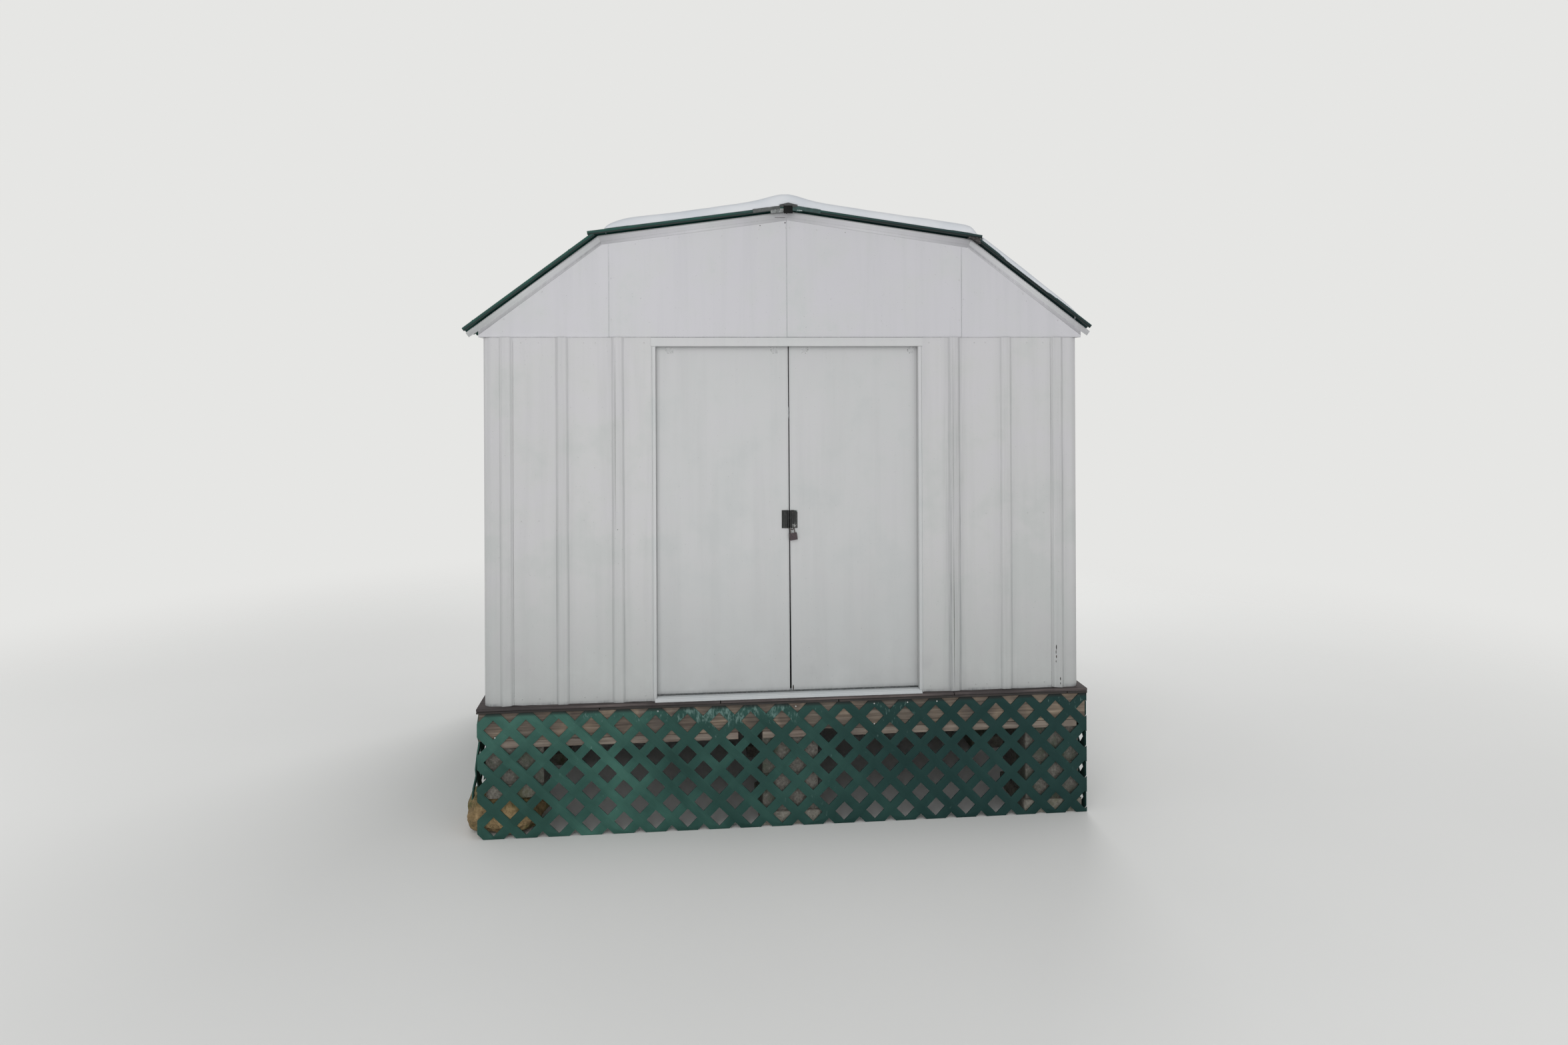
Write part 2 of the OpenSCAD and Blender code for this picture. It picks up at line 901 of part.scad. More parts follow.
// Underside of a roof sheet across its ribs, from the front lip to the rear lip.
// With nest above 0, the ribs and the lips fit inside those of a sheet with nest 0.
function roof_path(nest) =
    let (end = roof_half - nest)
    let (crest = roof_crest - 2 * nest)
    let (crest_u = roof_rib_h - sheet_t)
    let (first = roof_half - roof_crest / 2)
    let (pitch = 2 * first / roof_bays)
    concat(
        [
            [-end, roof_rib_h - roof_lip],
            [-end, crest_u],
            [-end + crest, crest_u],
            [-end + crest + roof_flank, 0]
        ],
        joined([
            for (i = [1 : roof_bays - 1])
                let (c = -first + i * pitch)
                [
                    [c - crest / 2 - roof_flank, 0],
                    [c - crest / 2, crest_u],
                    [c + crest / 2, crest_u],
                    [c + crest / 2 + roof_flank, 0]
                ]
        ]),
        [
            [end - crest - roof_flank, 0],
            [end - crest, crest_u],
            [end, crest_u],
            [end, roof_rib_h - roof_lip]
        ]
    );

// One ribbed roof sheet that lies on the slope from p, between two distances down it
module roof_sheet(p, angle, s0, s1, nest) {
    translate([p.x, 0, p.y])
        rotate([0, -angle, 0])
            translate([0, 0, seat])
                along_x(s0, s1)
                    bent_sheet(roof_path(nest));
}

module upper_roof_sheets() {
    color("#24504a")
        both_sides()
            roof_sheet([0, ridge_z], upper_angle, ridge_gap, upper_len + knee_over, 0);
}

module lower_roof_sheets() {
    nest = sheet_t + seat;
    color("#1f5a45")
        both_sides()
            roof_sheet([knee_x, knee_z], lower_angle, knee_gap, lower_len + tip_over, nest);
}

// Bent strip over the ridge, with a flap down each end
module ridge_cap() {
    flap_y = roof_half + sheet_t + seat;
    color("#1d2a2a")
        union() {
            along_y(-flap_y - sheet_t, flap_y + sheet_t)
                polygon(roof_strip(-cap_half, cap_half, cap_top, cap_under));
            front_and_rear()
                along_y(-flap_y - sheet_t, -flap_y)
                    polygon(roof_strip(-cap_half, cap_half, cap_top, roof_rib_h - roof_lip));
        }
}

// Snow on the ribs of the upper roof sheets and over the ridge cap, deepest over the ridge
module upper_snow() {
    crown = 1 + snow_ridge / snow_depth;
    places = snow_places(snow_left, snow_right, snow_edge, snow_edge, [
        [-crown_foot, 1],
        [-crown_top, crown],
        [0, crown],
        [crown_top, crown],
        [crown_foot, 1]
    ]);
    step = cap_half + seat;
    under = [
        [snow_right, cap_under],
        [step, cap_under],
        [step, cap_top + seat],
        [0, cap_top + seat],
        [-step, cap_top + seat],
        [-step, cap_under],
        [snow_left, cap_under]
    ];
    color("#eef1f5")
        along_y(-roof_half, roof_half)
            polygon(concat(
                [for (p = places) [p.x, upper_at(p.x, cap_under + p.y * snow_depth)]],
                [for (p = under) [p.x, upper_at(p.x, p.y)]]
            ));
}

// Thinner snow on the ribs of the lower right roof sheet
module lower_snow() {
    places = snow_places(low_snow_left, low_snow_right, snow_edge / 4, snow_edge * 0.7, []);
    color("#eef1f5")
        along_y(-roof_half, roof_half)
            polygon(concat(
                [for (p = places) [p.x, lower_at(p.x, cap_under + p.y * low_snow_depth)]],
                [for (x = [low_snow_right, low_snow_left]) [x, lower_at(x, cap_under)]]
            ));
}

// Door skin folded round all four edges, with flanges on its back
module door_pan() {
    difference() {
        cube([door_w, door_t, door_h]);
        translate([sheet_t, sheet_t, sheet_t])
            cube([door_w - 2 * sheet_t, door_t - 2 * sheet_t, door_h - 2 * sheet_t]);
        translate([door_flange, sheet_t, door_flange])
            cube([door_w - 2 * door_flange, door_t, door_h - 2 * door_flange]);
    }
}

// Stands the parts of a right-hand door in their place, and with way -1 those of the left one
module hung(way) {
    translate([door_shift, 0, 0])
        scale([way, 1, 1])
            children();
}

module door_skin() {
    color("#c9cbcc")
        translate([door_gap / 2, -half_d + door_u, door_z])
            door_pan();
}

module right_door() {
    hung(1)
        door_skin();
}

module left_door() {
    hung(-1)
        door_skin();
}

// Channels across the back of a door, inside its folded edges
module door_braces() {
    color("#b9bdbf")
        translate([0, -half_d + door_u, 0])
            for (f = brace_zs)
                let (z = door_z + f * door_h)
                    along_x(door_gap / 2 + sheet_t, door_gap / 2 + door_w - sheet_t)
                        bent_sheet([
                            [door_t - sheet_t, z + brace_h / 2],
                            [sheet_t, z + brace_h / 2],
                            [sheet_t, z - brace_h / 2],
                            [door_t - sheet_t, z - brace_h / 2]
                        ]);
}

module right_door_braces() {
    hung(1)
        door_braces();
}

module left_door_braces() {
    hung(-1)
        door_braces();
}

// Strap, axle and roller that hang a door on the track
module hanger() {
    top = roller_z + roller_r / 2;
    foot = door_z + door_h - door_flange;
    translate([0, -half_d, 0])
        union() {
            translate([-hanger_w / 2, door_back, foot])
                cube([hanger_w, hanger_t, top - foot]);
            translate([0, door_back, roller_z])
                rotate([-90, 0, 0])
                    cylinder(r = axle_r, h = roller_u + roller_t + axle_end - door_back, $fn = 32);
            translate([0, roller_u, roller_z])
                rotate([-90, 0, 0])
                    cylinder(r = roller_r, h = roller_t, $fn = 48);
        }
}

module door_hangers() {
    color("#6f7375")
        for (x = [door_gap / 2 + hanger_inset, door_gap / 2 + door_w - hanger_inset])
            translate([x, 0, 0])
                hanger();
}

module right_door_hangers() {
    hung(1)
        door_hangers();
}

module left_door_hangers() {
    hung(-1)
        door_hangers();
}

// Lip that stands out from a handle plate, with a hole for the shackle
module handle_lip_plate(x) {
    lip_u = door_u - handle_t - handle_lip;
    hole_h = lock_hole_z - floor_z - handle_z;
    translate([x, lip_u, -handle_h / 2])
        difference() {
            cube([lip_t, handle_lip + handle_t, handle_h]);
            translate([-eps, lock_u - lip_u, hole_h + handle_h / 2])
                rotate([0, 90, 0])
                    cylinder(r = lip_hole_r, h = lip_t + 2 * eps, $fn = 32);
        }
}

// Left handle: plate with two upright grips and a lip
module left_handle() {
    grip_w = 5;
    grip_d = 4;
    edge = lip_left_x + lip_t - handle_w;
    color("#2b2d2c")
        translate([door_shift, -half_d, floor_z + handle_z])
            union() {
                translate([edge, door_u - handle_t, -handle_h / 2])
                    cube([handle_w, handle_t, handle_h]);
                for (i = [0, 1])
                    translate([edge + i * 2 * grip_w, door_u - handle_t - grip_d, -handle_h / 2])
                        cube([grip_w, grip_d + eps, handle_h]);
                handle_lip_plate(lip_left_x);
            }
}

// Right handle: plate with a broken upper corner and a lip
module right_handle() {
    broken = handle_w * 0.6;
    color("#2b2d2c")
        translate([door_shift, -half_d, floor_z + handle_z])
            union() {
                difference() {
                    translate([lip_right_x, door_u - handle_t, -handle_h / 2])
                        cube([handle_w, handle_t, handle_h]);
                    translate([lip_right_x + handle_w, door_u - handle_t - eps, handle_h / 2])
                        rotate([0, 50, 0])
                            translate([-broken / 2, 0, -broken])
                                cube([broken, handle_t + 2 * eps, 2 * broken]);
                }
                handle_lip_plate(lip_right_x);
            }
}

// Padlock that hangs by its shackle in the right handle's lip
module padlock() {
    bow_z = -shackle_w / 2;
    color("#453338")
        translate([door_shift + shackle_x, -half_d + lock_u, lock_hole_z - lip_hole_r + shackle_r + shackle_rest])
            rotate([0, -lock_lean, 0])
                union() {
                    translate([0, 0, bow_z])
                        rotate([90, 0, 0])
                            intersection() {
                                rotate_extrude($fn = 64)
                                    translate([shackle_w / 2, 0])
                                        circle(r = shackle_r, $fn = 24);
                                translate([-shackle_w, 0, -shackle_w])
                                    cube([2 * shackle_w, shackle_w, 2 * shackle_w]);
                            }
                    both_sides()
                        translate([shackle_w / 2, 0, bow_z - shackle_leg - eps])
                            cylinder(r = shackle_r, h = shackle_leg + eps, $fn = 24);
                    translate([0, 0, bow_z - shackle_leg - lock_h])
                        padlock_body();
                }
}

// Laminated body with rounded upright edges
module padlock_body() {
    in_w = lock_w / 2 - lock_edge;
    in_t = lock_t / 2 - lock_edge;
    linear_extrude(lock_h)
        union() {
            square([2 * in_w, lock_t], center = true);
            square([lock_w, 2 * in_t], center = true);
            for (sx = [-1, 1], sy = [-1, 1])
                translate([sx * in_w, sy * in_t])
                    circle(r = lock_edge, $fn = 24);
        }
}

footing_slabs();
corner_stone();
lower_blocks();
upper_blocks();
sill_boards();
long_rims();
side_rims();
floor_joists();
subfloor_boards();
deck_sheets();
front_lattice();
rear_lattice();
left_lattice();
right_lattice();
threshold();
floor_frame();
front_corners();
rear_corners();
front_left_panel();
front_right_panel();
left_wall();
right_wall();
rear_wall();
wall_channels();
door_jambs();
door_header();
door_track();
rear_top_channel();
front_gable_ends();
front_gable_centres();
rear_gable();
gable_braces();
roof_beams();
eave_rails();
rake_trims();
lower_roof_sheets();
upper_roof_sheets();
ridge_cap();
upper_snow();
lower_snow();
left_door();
left_door_braces();
left_door_hangers();
left_handle();
right_door();
right_door_braces();
right_door_hangers();
right_handle();
padlock();
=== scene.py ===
"""Looks of a white sheet-steel garden shed with a barn-shaped roof and sliding doors.

It stands on a timber platform that is skirted with green lattice. The front faces -Y.
"""

import json
import math

import bmesh
import bpy
from mathutils import Matrix, Vector, noise

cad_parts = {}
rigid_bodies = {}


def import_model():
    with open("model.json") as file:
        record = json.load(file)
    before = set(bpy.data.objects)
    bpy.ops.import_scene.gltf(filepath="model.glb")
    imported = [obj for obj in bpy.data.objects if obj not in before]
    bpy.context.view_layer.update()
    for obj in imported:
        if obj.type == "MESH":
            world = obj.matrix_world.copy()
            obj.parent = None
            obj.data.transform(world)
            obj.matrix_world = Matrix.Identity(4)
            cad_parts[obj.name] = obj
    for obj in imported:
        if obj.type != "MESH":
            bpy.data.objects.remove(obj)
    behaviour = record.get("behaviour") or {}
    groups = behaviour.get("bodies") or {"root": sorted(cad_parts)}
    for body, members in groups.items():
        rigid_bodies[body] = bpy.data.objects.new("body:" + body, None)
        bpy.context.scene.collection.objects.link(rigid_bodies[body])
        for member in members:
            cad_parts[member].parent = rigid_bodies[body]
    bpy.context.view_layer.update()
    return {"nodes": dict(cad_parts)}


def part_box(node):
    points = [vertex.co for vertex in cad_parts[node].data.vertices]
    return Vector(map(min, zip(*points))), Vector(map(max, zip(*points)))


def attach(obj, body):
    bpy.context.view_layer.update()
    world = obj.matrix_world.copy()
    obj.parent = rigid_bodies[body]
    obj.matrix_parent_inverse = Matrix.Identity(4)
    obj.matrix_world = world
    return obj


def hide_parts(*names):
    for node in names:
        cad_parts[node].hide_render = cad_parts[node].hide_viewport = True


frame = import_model()
NODES = frame["nodes"]

# Real places, in metres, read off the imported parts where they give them.
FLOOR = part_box("deck_sheets")[1].z
WALL_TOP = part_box("front_left_panel")[1].z
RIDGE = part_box("rake_trims")[1].z
HALF_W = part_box("wall_channels")[1].x + 0.0015
HALF_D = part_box("wall_channels")[1].y + 0.0015
KNEE = Vector((0.970, WALL_TOP + 0.516))
EAVE = Vector((1.615, WALL_TOP + 0.032))
FRONT = -HALF_D
DOOR_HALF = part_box("door_header")[1].x
DOOR_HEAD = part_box("door_header")[0].z
DOOR_LOW, DOOR_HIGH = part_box("right_door")
MEET = (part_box("left_door")[0].x + DOOR_HIGH.x) / 2
TOWARDS_FRONT = (0, -1, 0)
FLIP_X, FLIP_Y = Matrix.Scale(-1, 4, (1, 0, 0)), Matrix.Scale(-1, 4, (0, 1, 0))
ROOT, LEFT_DOOR, RIGHT_DOOR = "shed", "left_door_body", "right_door_body"


# Materials

def colour(code):
    """An sRGB hex value as linear red, green, blue, alpha."""
    parts = [int(code[i:i + 2], 16) / 255 for i in (1, 3, 5)]
    return [c / 12.92 if c <= 0.04045 else ((c + 0.055) / 1.055) ** 2.4 for c in parts] + [1.0]


def add(tree, kind, ins=None, **settings):
    """Adds a shader node with its settings and its inputs, which are values, hex colours or sockets."""
    made = tree.nodes.new("ShaderNode" + kind)
    for key, value in settings.items():
        setattr(made, key, value)
    for key, value in (ins or {}).items():
        if isinstance(value, bpy.types.NodeSocket):
            tree.links.new(value, made.inputs[key])
        else:
            made.inputs[key].default_value = colour(value) if isinstance(value, str) else value
    return made


class Finish:
    """One material. Each method adds a node and returns the socket with its result."""

    def __init__(self, name, roughness, **sockets):
        self.material = bpy.data.materials.new(name)
        self.material.use_nodes = True
        self.tree = self.material.node_tree
        self.shader = self.tree.nodes["Principled BSDF"]
        self.shader.inputs["Roughness"].default_value = roughness
        for key, value in sockets.items():
            self.shader.inputs[key.replace("_", " ")].default_value = value
        self.place = add(self.tree, "TexCoord").outputs["Object"]
        self.x, self.y, self.height = add(self.tree, "SeparateXYZ", {0: self.place}).outputs[:3]

    def noise(self, scale, detail, rough=0.5, at=None):
        """Noise at object coordinates, or at other ones."""
        return add(self.tree, "TexNoise", {"Vector": at or self.place, "Scale": scale, "Detail": detail,
                                           "Roughness": rough}).outputs[0]

    def streaks(self, scales, detail, rough=0.5):
        """Noise with a scale of its own along each axis."""
        return self.noise(1.0, detail, rough, self.scaled(scales))

    def scaled(self, scales, at=None):
        """Object coordinates, or other ones, each multiplied by its own scale."""
        return add(self.tree, "Mapping", {0: at or self.place, "Scale": scales}).outputs[0]

    def span(self, value, low, high, to_low=0.0, to_high=1.0):
        """The value taken from one range to another, and held at its ends."""
        return add(self.tree, "MapRange", {0: value, 1: low, 2: high, 3: to_low, 4: to_high}).outputs[0]

    def calc(self, operation, first, second=None, **settings):
        """Two values in one operation, or one value where there is no second."""
        ins = {0: first} if second is None else {0: first, 1: second}
        return add(self.tree, "Math", ins, operation=operation, **settings).outputs[0]

    def ramp(self, value, *stops):
        """Colours between stops, which are places and hex colours in rising order."""
        made = add(self.tree, "ValToRGB", {0: value})
        elements = made.color_ramp.elements
        for i, (place, shade) in enumerate((stops[0], stops[-1]) + stops[1:-1]):
            stop = elements[i] if i < 2 else elements.new(place)
            stop.position, stop.color = place, colour(shade)
        return made.outputs[0]

    def blend(self, share, low, high, mode="MIX"):
        """The colour between low and high at share."""
        ins = {0: share, 6: low, 7: high}
        return add(self.tree, "Mix", ins, data_type="RGBA", blend_type=mode).outputs[2]

    def turned(self, share, low, high):
        """The vector between low and high at share."""
        return add(self.tree, "Mix", {0: share, 4: low, 5: high}, data_type="VECTOR").outputs[1]

    def share(self, layer):
        """The share that soil() wrote on the piece."""
        return add(self.tree, "Attribute", attribute_name=layer, attribute_type="GEOMETRY").outputs["Fac"]

    def bump(self, height, strength, distance, **over):
        """A normal from a height; over takes another bump as Normal."""
        ins = {"Height": height, "Strength": strength, "Distance": distance, **over}
        return add(self.tree, "Bump", ins).outputs[0]

    def done(self, **sockets):
        """Links sockets to the shader's inputs and gives the material."""
        for key, socket in sockets.items():
            self.tree.links.new(socket, self.shader.inputs[key.replace("_", " ")])
        return self.material


FOLD_DIRT_AND_SHADE = "#6f7274"


def enamel(name, base, cool, warm, low_dirt_and_shade, streak, bump=0.10, low_most=0.75):
    """Factory-baked enamel on thin steel: white, chalked, with soft rain streaks, and dirt and painted shade
    in its folds.
    """
    dullness = 0.32
    f = Finish(name, dullness)
    # Smudges 100 to 200 mm across, warmer high up and cooler near the ground.
    patches = f.noise(4.5, 4.0, 0.6)
    level = f.calc("ADD", patches, f.span(f.height, FLOOR, WALL_TOP + 0.3, -0.10, 0.10))
    tint = f.ramp(level, (0.34, cool), (0.5, base), (0.66, warm))
    # Rain streaks are a few centimetres wide and run far down the sheet.
    rain = f.streaks((16, 16, 0.8), 5.0, 0.62)
    streaked = f.blend(f.span(rain, 0.48, 0.74, 0.0, 0.24), tint, streak)
    # Dirt splashed up and painted shade darken the lowest 0.85 m.
    low = f.calc("POWER", f.span(f.height, FLOOR + 0.85, FLOOR - 0.02), 1.5)
    uneven = f.span(patches, 0.35, 0.68, 0.30, low_most)
    soiled = f.blend(f.calc("MULTIPLY", low, uneven), streaked, low_dirt_and_shade)
    # Specks of a few millimetres, few and faint.
    specked = f.blend(f.span(f.noise(130.0, 2.0), 0.72, 0.80, 0.0, 0.5), soiled, FOLD_DIRT_AND_SHADE)
    # Dirt and painted shade that lie in folds and under edges, broken up along its length.
    broken = f.span(f.streaks((90, 90, 2.2), 4.0, 0.7), 0.34, 0.66, 0.25, 1.0)
    dirt = f.calc("MULTIPLY", f.share("grime"), broken, use_clamp=True)
    # Thin sheet is never flat: waves about 0.5 m long and a fraction of a millimetre high.
    waves = f.bump(f.streaks((2.6, 2.6, 1.3), 1.5), bump, 0.02)
    return f.done(Base_Color=f.blend(dirt, specked, FOLD_DIRT_AND_SHADE),
                  Roughness=f.span(rain, 0.3, 0.7, dullness - 0.04, dullness + 0.12),
                  Normal=f.bump(f.noise(420.0, 1.0), 0.05, 0.0004, Normal=waves))


def timber(name, light, mid, dark, along, grain=70.0, wet="#4b4440", tints=()):
    """Softwood left out in the weather: raised grain along the board, stains, stretches of other tints."""
    f = Finish(name, 0.82)
    scales = [grain] * 3
    scales[along] = grain * 0.035
    bend = add(f.tree, "TexNoise", {"Vector": f.place, "Scale": 3.0, "Detail": 2.0}).outputs[1]
    rings = f.noise(1.0, 6.0, 0.65, f.turned(0.06, f.scaled(scales), bend))
    shade = f.ramp(rings, (0.30, dark), (0.52, mid), (0.72, light))
    if tints:
        # Stretches of 100 to 300 mm that have weathered redder, greyer or darker.
        stops = [(0.36 + 0.28 * i / (len(tints) - 1), code) for i, code in enumerate(tints)]
        shade = f.blend(0.62, shade, f.ramp(f.noise(5.5, 1.0), *stops), "MULTIPLY")
    stain = f.span(f.noise(4.5, 5.0, 0.7), 0.50, 0.72, 0.0, 0.65)
    return f.done(Base_Color=f.blend(stain, shade, wet), Normal=f.bump(rings, 0.5, 0.0012))


def rough_stone(name, light, mid, dark, moss, scale, depth, moss_from=0.52):
    """Cast or natural stone: grains and pits, with dirt and moss in patches."""
    f = Finish(name, 0.92)
    grains = f.noise(scale, 8.0, 0.7)
    tone = f.ramp(grains, (0.32, dark), (0.5, mid), (0.70, light))
    patch = f.span(f.noise(7.0, 5.0, 0.65), moss_from, moss_from + 0.14, 0.0, 0.85)
    pits = add(f.tree, "TexVoronoi", {"Vector": f.place, "Scale": scale * 2.2}).outputs[0]
    relief = f.calc("ADD", grains, f.span(pits, 0.0, 0.35))
    return f.done(Base_Color=f.blend(patch, tone, moss), Normal=f.bump(relief, 0.7, depth))


def green_enamel():
    """Dark green baked enamel of the roof: satin, dusty in places, blacker and bluer on the right, with
    painted highlight and shade on its lips.
    """
    f = Finish("dark green baked enamel on steel", 0.42, Specular_IOR_Level=0.35)
    dust = f.noise(9.0, 6.0, 0.65)
    tone = f.ramp(dust, (0.30, "#0c3230"), (0.52, "#11423a"), (0.62, "#194a41"), (0.78, "#2c6055"))
    darker = f.blend(f.span(f.x, -0.05, 0.55, 0.0, 0.82), tone, "#0a2629")
    # A painted highlight: pale along the hems of the lips.
    bare = f.blend(f.share("grime"), darker, "#727f7a")
    # Painted shade: the lower part of each lip is painted near black.
    return f.done(Base_Color=f.blend(f.share("damp"), bare, "#030c0d"),
                  Roughness=f.span(dust, 0.3, 0.7, 0.40, 0.62),
                  Normal=f.bump(f.noise(3.0, 2.0), 0.15, 0.02))


def lattice_paint(name, near, far, shade_from):
    """Green exterior paint on softwood slats: brushed along each slat, faded, scuffed, dirty at crossings.

    The map called slats counts slats across both diagonals, so each slat has its own tint and grain.
    """
    f = Finish(name, 0.72, Specular_IOR_Level=0.25)
    slats = add(f.tree, "UVMap", uv_map="slats").outputs[0]
    u, v = add(f.tree, "SeparateXYZ", {0: slats}).outputs[:2]
    # Half a slat's width, as a share of the slats' pitch.
    half_slat = 0.2018
    off = f.calc("ABSOLUTE", f.calc("SUBTRACT", f.calc("FRACT", u), 0.5))
    in_front = f.calc("LESS_THAN", off, half_slat)
    which = add(f.tree, "Mix", {0: in_front, 2: f.calc("FLOOR", v), 3: f.calc("FLOOR", u)}).outputs[0]
    number = add(f.tree, "CombineXYZ", {0: which, 1: in_front}).outputs[0]
    own = add(f.tree, "TexWhiteNoise", {"Vector": number}).outputs[0]
    # Brush marks and grain: 2 to 3 mm across the slat and 100 mm along it.
    lie = f.turned(in_front, f.scaled((1.6, 60, 1), slats), f.scaled((60, 1.6, 1), slats))
    grain = f.noise(1.0, 4.0, 0.6, lie)
    level = f.calc("ADD", f.noise(2.6, 4.0, 0.6), f.calc("MULTIPLY", own, 0.16))
    level = f.calc("ADD", level, f.calc("MULTIPLY", grain, 0.22))
    tone = f.ramp(level, (0.42, near[0]), (0.68, near[1]), (0.92, near[2]))
    # Painted shade: the slats darken towards the right.
    shaded_to_right = f.blend(f.span(f.x, shade_from, shade_from + 1.8, 0.0, 0.80), tone, far)
    # Pale scuffs and drips, mostly on the upper slats a little left of the middle.
    high_up = f.span(f.height, FLOOR - 0.22, FLOOR - 0.06, -0.03, 0.05)
    lifted = f.calc("ADD", f.streaks((58, 58, 24), 5.0, 0.7), high_up)
    lifted = f.calc("ADD", lifted, f.span(f.noise(3.1, 2.0), 0.40, 0.62, -0.06, 0.06))
    from_middle = f.calc("ABSOLUTE", f.calc("ADD", f.x, 0.33))
    top_rows = f.span(f.height, FLOOR - 0.16, FLOOR - 0.09)
    centred = f.calc("MULTIPLY", f.span(from_middle, 0.50, 0.25, 0.0, 0.15), top_rows)
    lifted = f.calc("ADD", lifted, centred)
    scuffed = f.blend(f.span(lifted, 0.66, 0.80, 0.0, 0.55), shaded_to_right, "#7b9791")
    # A hair of dirt lies where one slat crosses another.
    edge = f.calc("ABSOLUTE", f.calc("SUBTRACT", off, half_slat))
    lined = f.blend(f.span(edge, 0.003, 0.013, 0.16, 0.0), scuffed, "#12302b")
    # A painted shadow: the top edge under the deck is painted near black.
    under = f.span(f.height, FLOOR - 0.046, FLOOR - 0.034, 0.0, 0.80)
    return f.done(Base_Color=f.blend(under, lined, "#191d1c"),
                  Normal=f.bump(f.calc("ADD", in_front, grain), 0.18, 0.0010))


def galvanised():
    """Hot-dip galvanised strip of the frame: grey, with crystals 10 mm across."""
    f = Finish("galvanised steel strip", 0.45, Metallic=0.75)
    crystals = add(f.tree, "TexVoronoi", {"Vector": f.place, "Scale": 90.0})
    return f.done(Base_Color=f.ramp(crystals.outputs[1], (0.2, "#a3a8aa"), (0.9, "#c6cacb")),
                  Roughness=f.span(crystals.outputs[0], 0.0, 0.6, 0.36, 0.56))


def moulded(name, dark, mid, pale, rubbed=None, specular=0.5):
    """Plastic or paint that the sun has greyed, rubbed paler in patches and, if given, in one worn place."""
    f = Finish(name, 0.52, Specular_IOR_Level=specular)
    wear = f.noise(60.0, 6.0, 0.7)
    shade = f.ramp(wear, (0.35, dark), (0.55, mid), (0.78, pale))
    if rubbed:
        away = add(f.tree, "VectorMath", {0: f.place, 1: rubbed}, operation="DISTANCE").outputs["Value"]
        reach = f.span(f.noise(150.0, 3.0), 0.38, 0.62, 0.0005, 0.0125)
        shade = f.blend(f.calc("LESS_THAN", away, reach), shade, "#b4b6b4")
    return f.done(Base_Color=shade, Normal=f.bump(wear, 0.3, 0.0005))


def lock_steel(name, light, dark, rust, metal, gloss):
    """Padlock steel that has stood outside: dark, dull, with brown rust blooming on it."""
    f = Finish(name, gloss, Metallic=metal)
    bloom = f.noise(110.0, 6.0, 0.7)
    return f.done(Base_Color=f.ramp(bloom, (0.38, dark), (0.55, light), (0.72, rust)),
                  Normal=f.bump(bloom, 0.4, 0.0005))


def settled_snow():
    """Settled snow: matt white with a cool cast, soft dimples and a fine crust of grains."""
    f = Finish("settled snow", 0.75, Specular_IOR_Level=0.3)
    drift = f.noise(5.0, 3.0)
    relief = f.calc("ADD", drift, f.noise(180.0, 4.0, 0.8))
    return f.done(Base_Color=f.ramp(drift, (0.30, "#d0d4d9"), (0.5, "#d7dade"), (0.70, "#dddfe2")),
                  Normal=f.bump(relief, 0.30, 0.004))


WHITE = "white baked enamel on "
WALL = enamel(WHITE + "wall sheet", "#c1c1c1", "#bbbdbc", "#c2c1c3", "#9a9d9c", "#abadad")
DOOR = enamel(WHITE + "door sheet", "#bfc0c0", "#bbbdbd", "#c0c0c1", "#9c9f9f", "#afb1b1", bump=0.07)
GABLE = enamel(WHITE + "gable sheet", "#c2c2c4", "#bdc0c0", "#c3c2c6", "#a4a7a7", "#b2b4b6", bump=0.09)
TRIM = enamel(WHITE + "folded trim", "#cbcdcd", "#c5c9ca", "#cbcbcd", "#b0b4b4", "#b8bcbd", bump=0.04,
              low_most=0.6)
HEAD = enamel(WHITE + "door frame", "#c3c4c4", "#bec1c1", "#c3c3c4", "#a3a6a6", "#b2b5b5", bump=0.04,
              low_most=0.6)
STEP = enamel(WHITE + "threshold", "#cdd0d1", "#c4c9cb", "#d0d2d3", "#b5b9ba", "#b9bdbe", bump=0.03,
              low_most=0.35)
GREEN = green_enamel()
LATTICE = lattice_paint("faded green exterior paint on softwood", ("#1c3c35", "#294d45", "#3b6459"),
                        "#0a2a2a", -0.95)
ZINC = galvanised()
STRETCHES = ("#6b5a54", "#b9b2aa", "#e2d6c6", "#9a8e84", "#7b7370", "#56504f")
RIM = {"light": "#a59a8c", "mid": "#7f7468", "dark": "#4a423b", "grain": 95.0, "tints": STRETCHES}
RIM_X = timber("greyed softwood rim, grain left to right", along=0, **RIM)
RIM_Y = timber("greyed softwood rim, grain front to back", along=1, **RIM)
SILL = timber("pale greyed softwood sill", "#a79f95", "#8a8178", "#615950", 0, wet="#564e47",
              tints=("#a8948b", "#e2ddd5", "#b3aba2", "#8f8a8b"))
PLY = timber("weathered plywood deck", "#6a605d", "#453e3e", "#242121", 0, grain=60.0, wet="#211e1f")
DARK_BOARD = timber("dark sheathing board", "#4b4340", "#2d2927", "#1a1716", 0, wet="#171515")
BLOCK = rough_stone("pressed concrete block", "#7b7972", "#625f59", "#46443f", "#3c4638", 90.0, 0.003, 0.48)
SLAB = rough_stone("rough cast concrete footing", "#8a867d", "#716e66", "#524f49", "#54563f", 60.0, 0.004,
                   0.54)
FIELDSTONE = rough_stone("mossy fieldstone", "#a58d68", "#86714f", "#57482f", "#4b4f26", 26.0, 0.010, 0.50)
PACKED_DIRT = rough_stone("dirt packed under the roof edge", "#7c7a79", "#3b3938", "#161515", "#1d1c1b",
                          130.0, 0.004)
BLACK = moulded("sun-greyed moulded black plastic", "#1b1d1c", "#272a29", "#454a48")
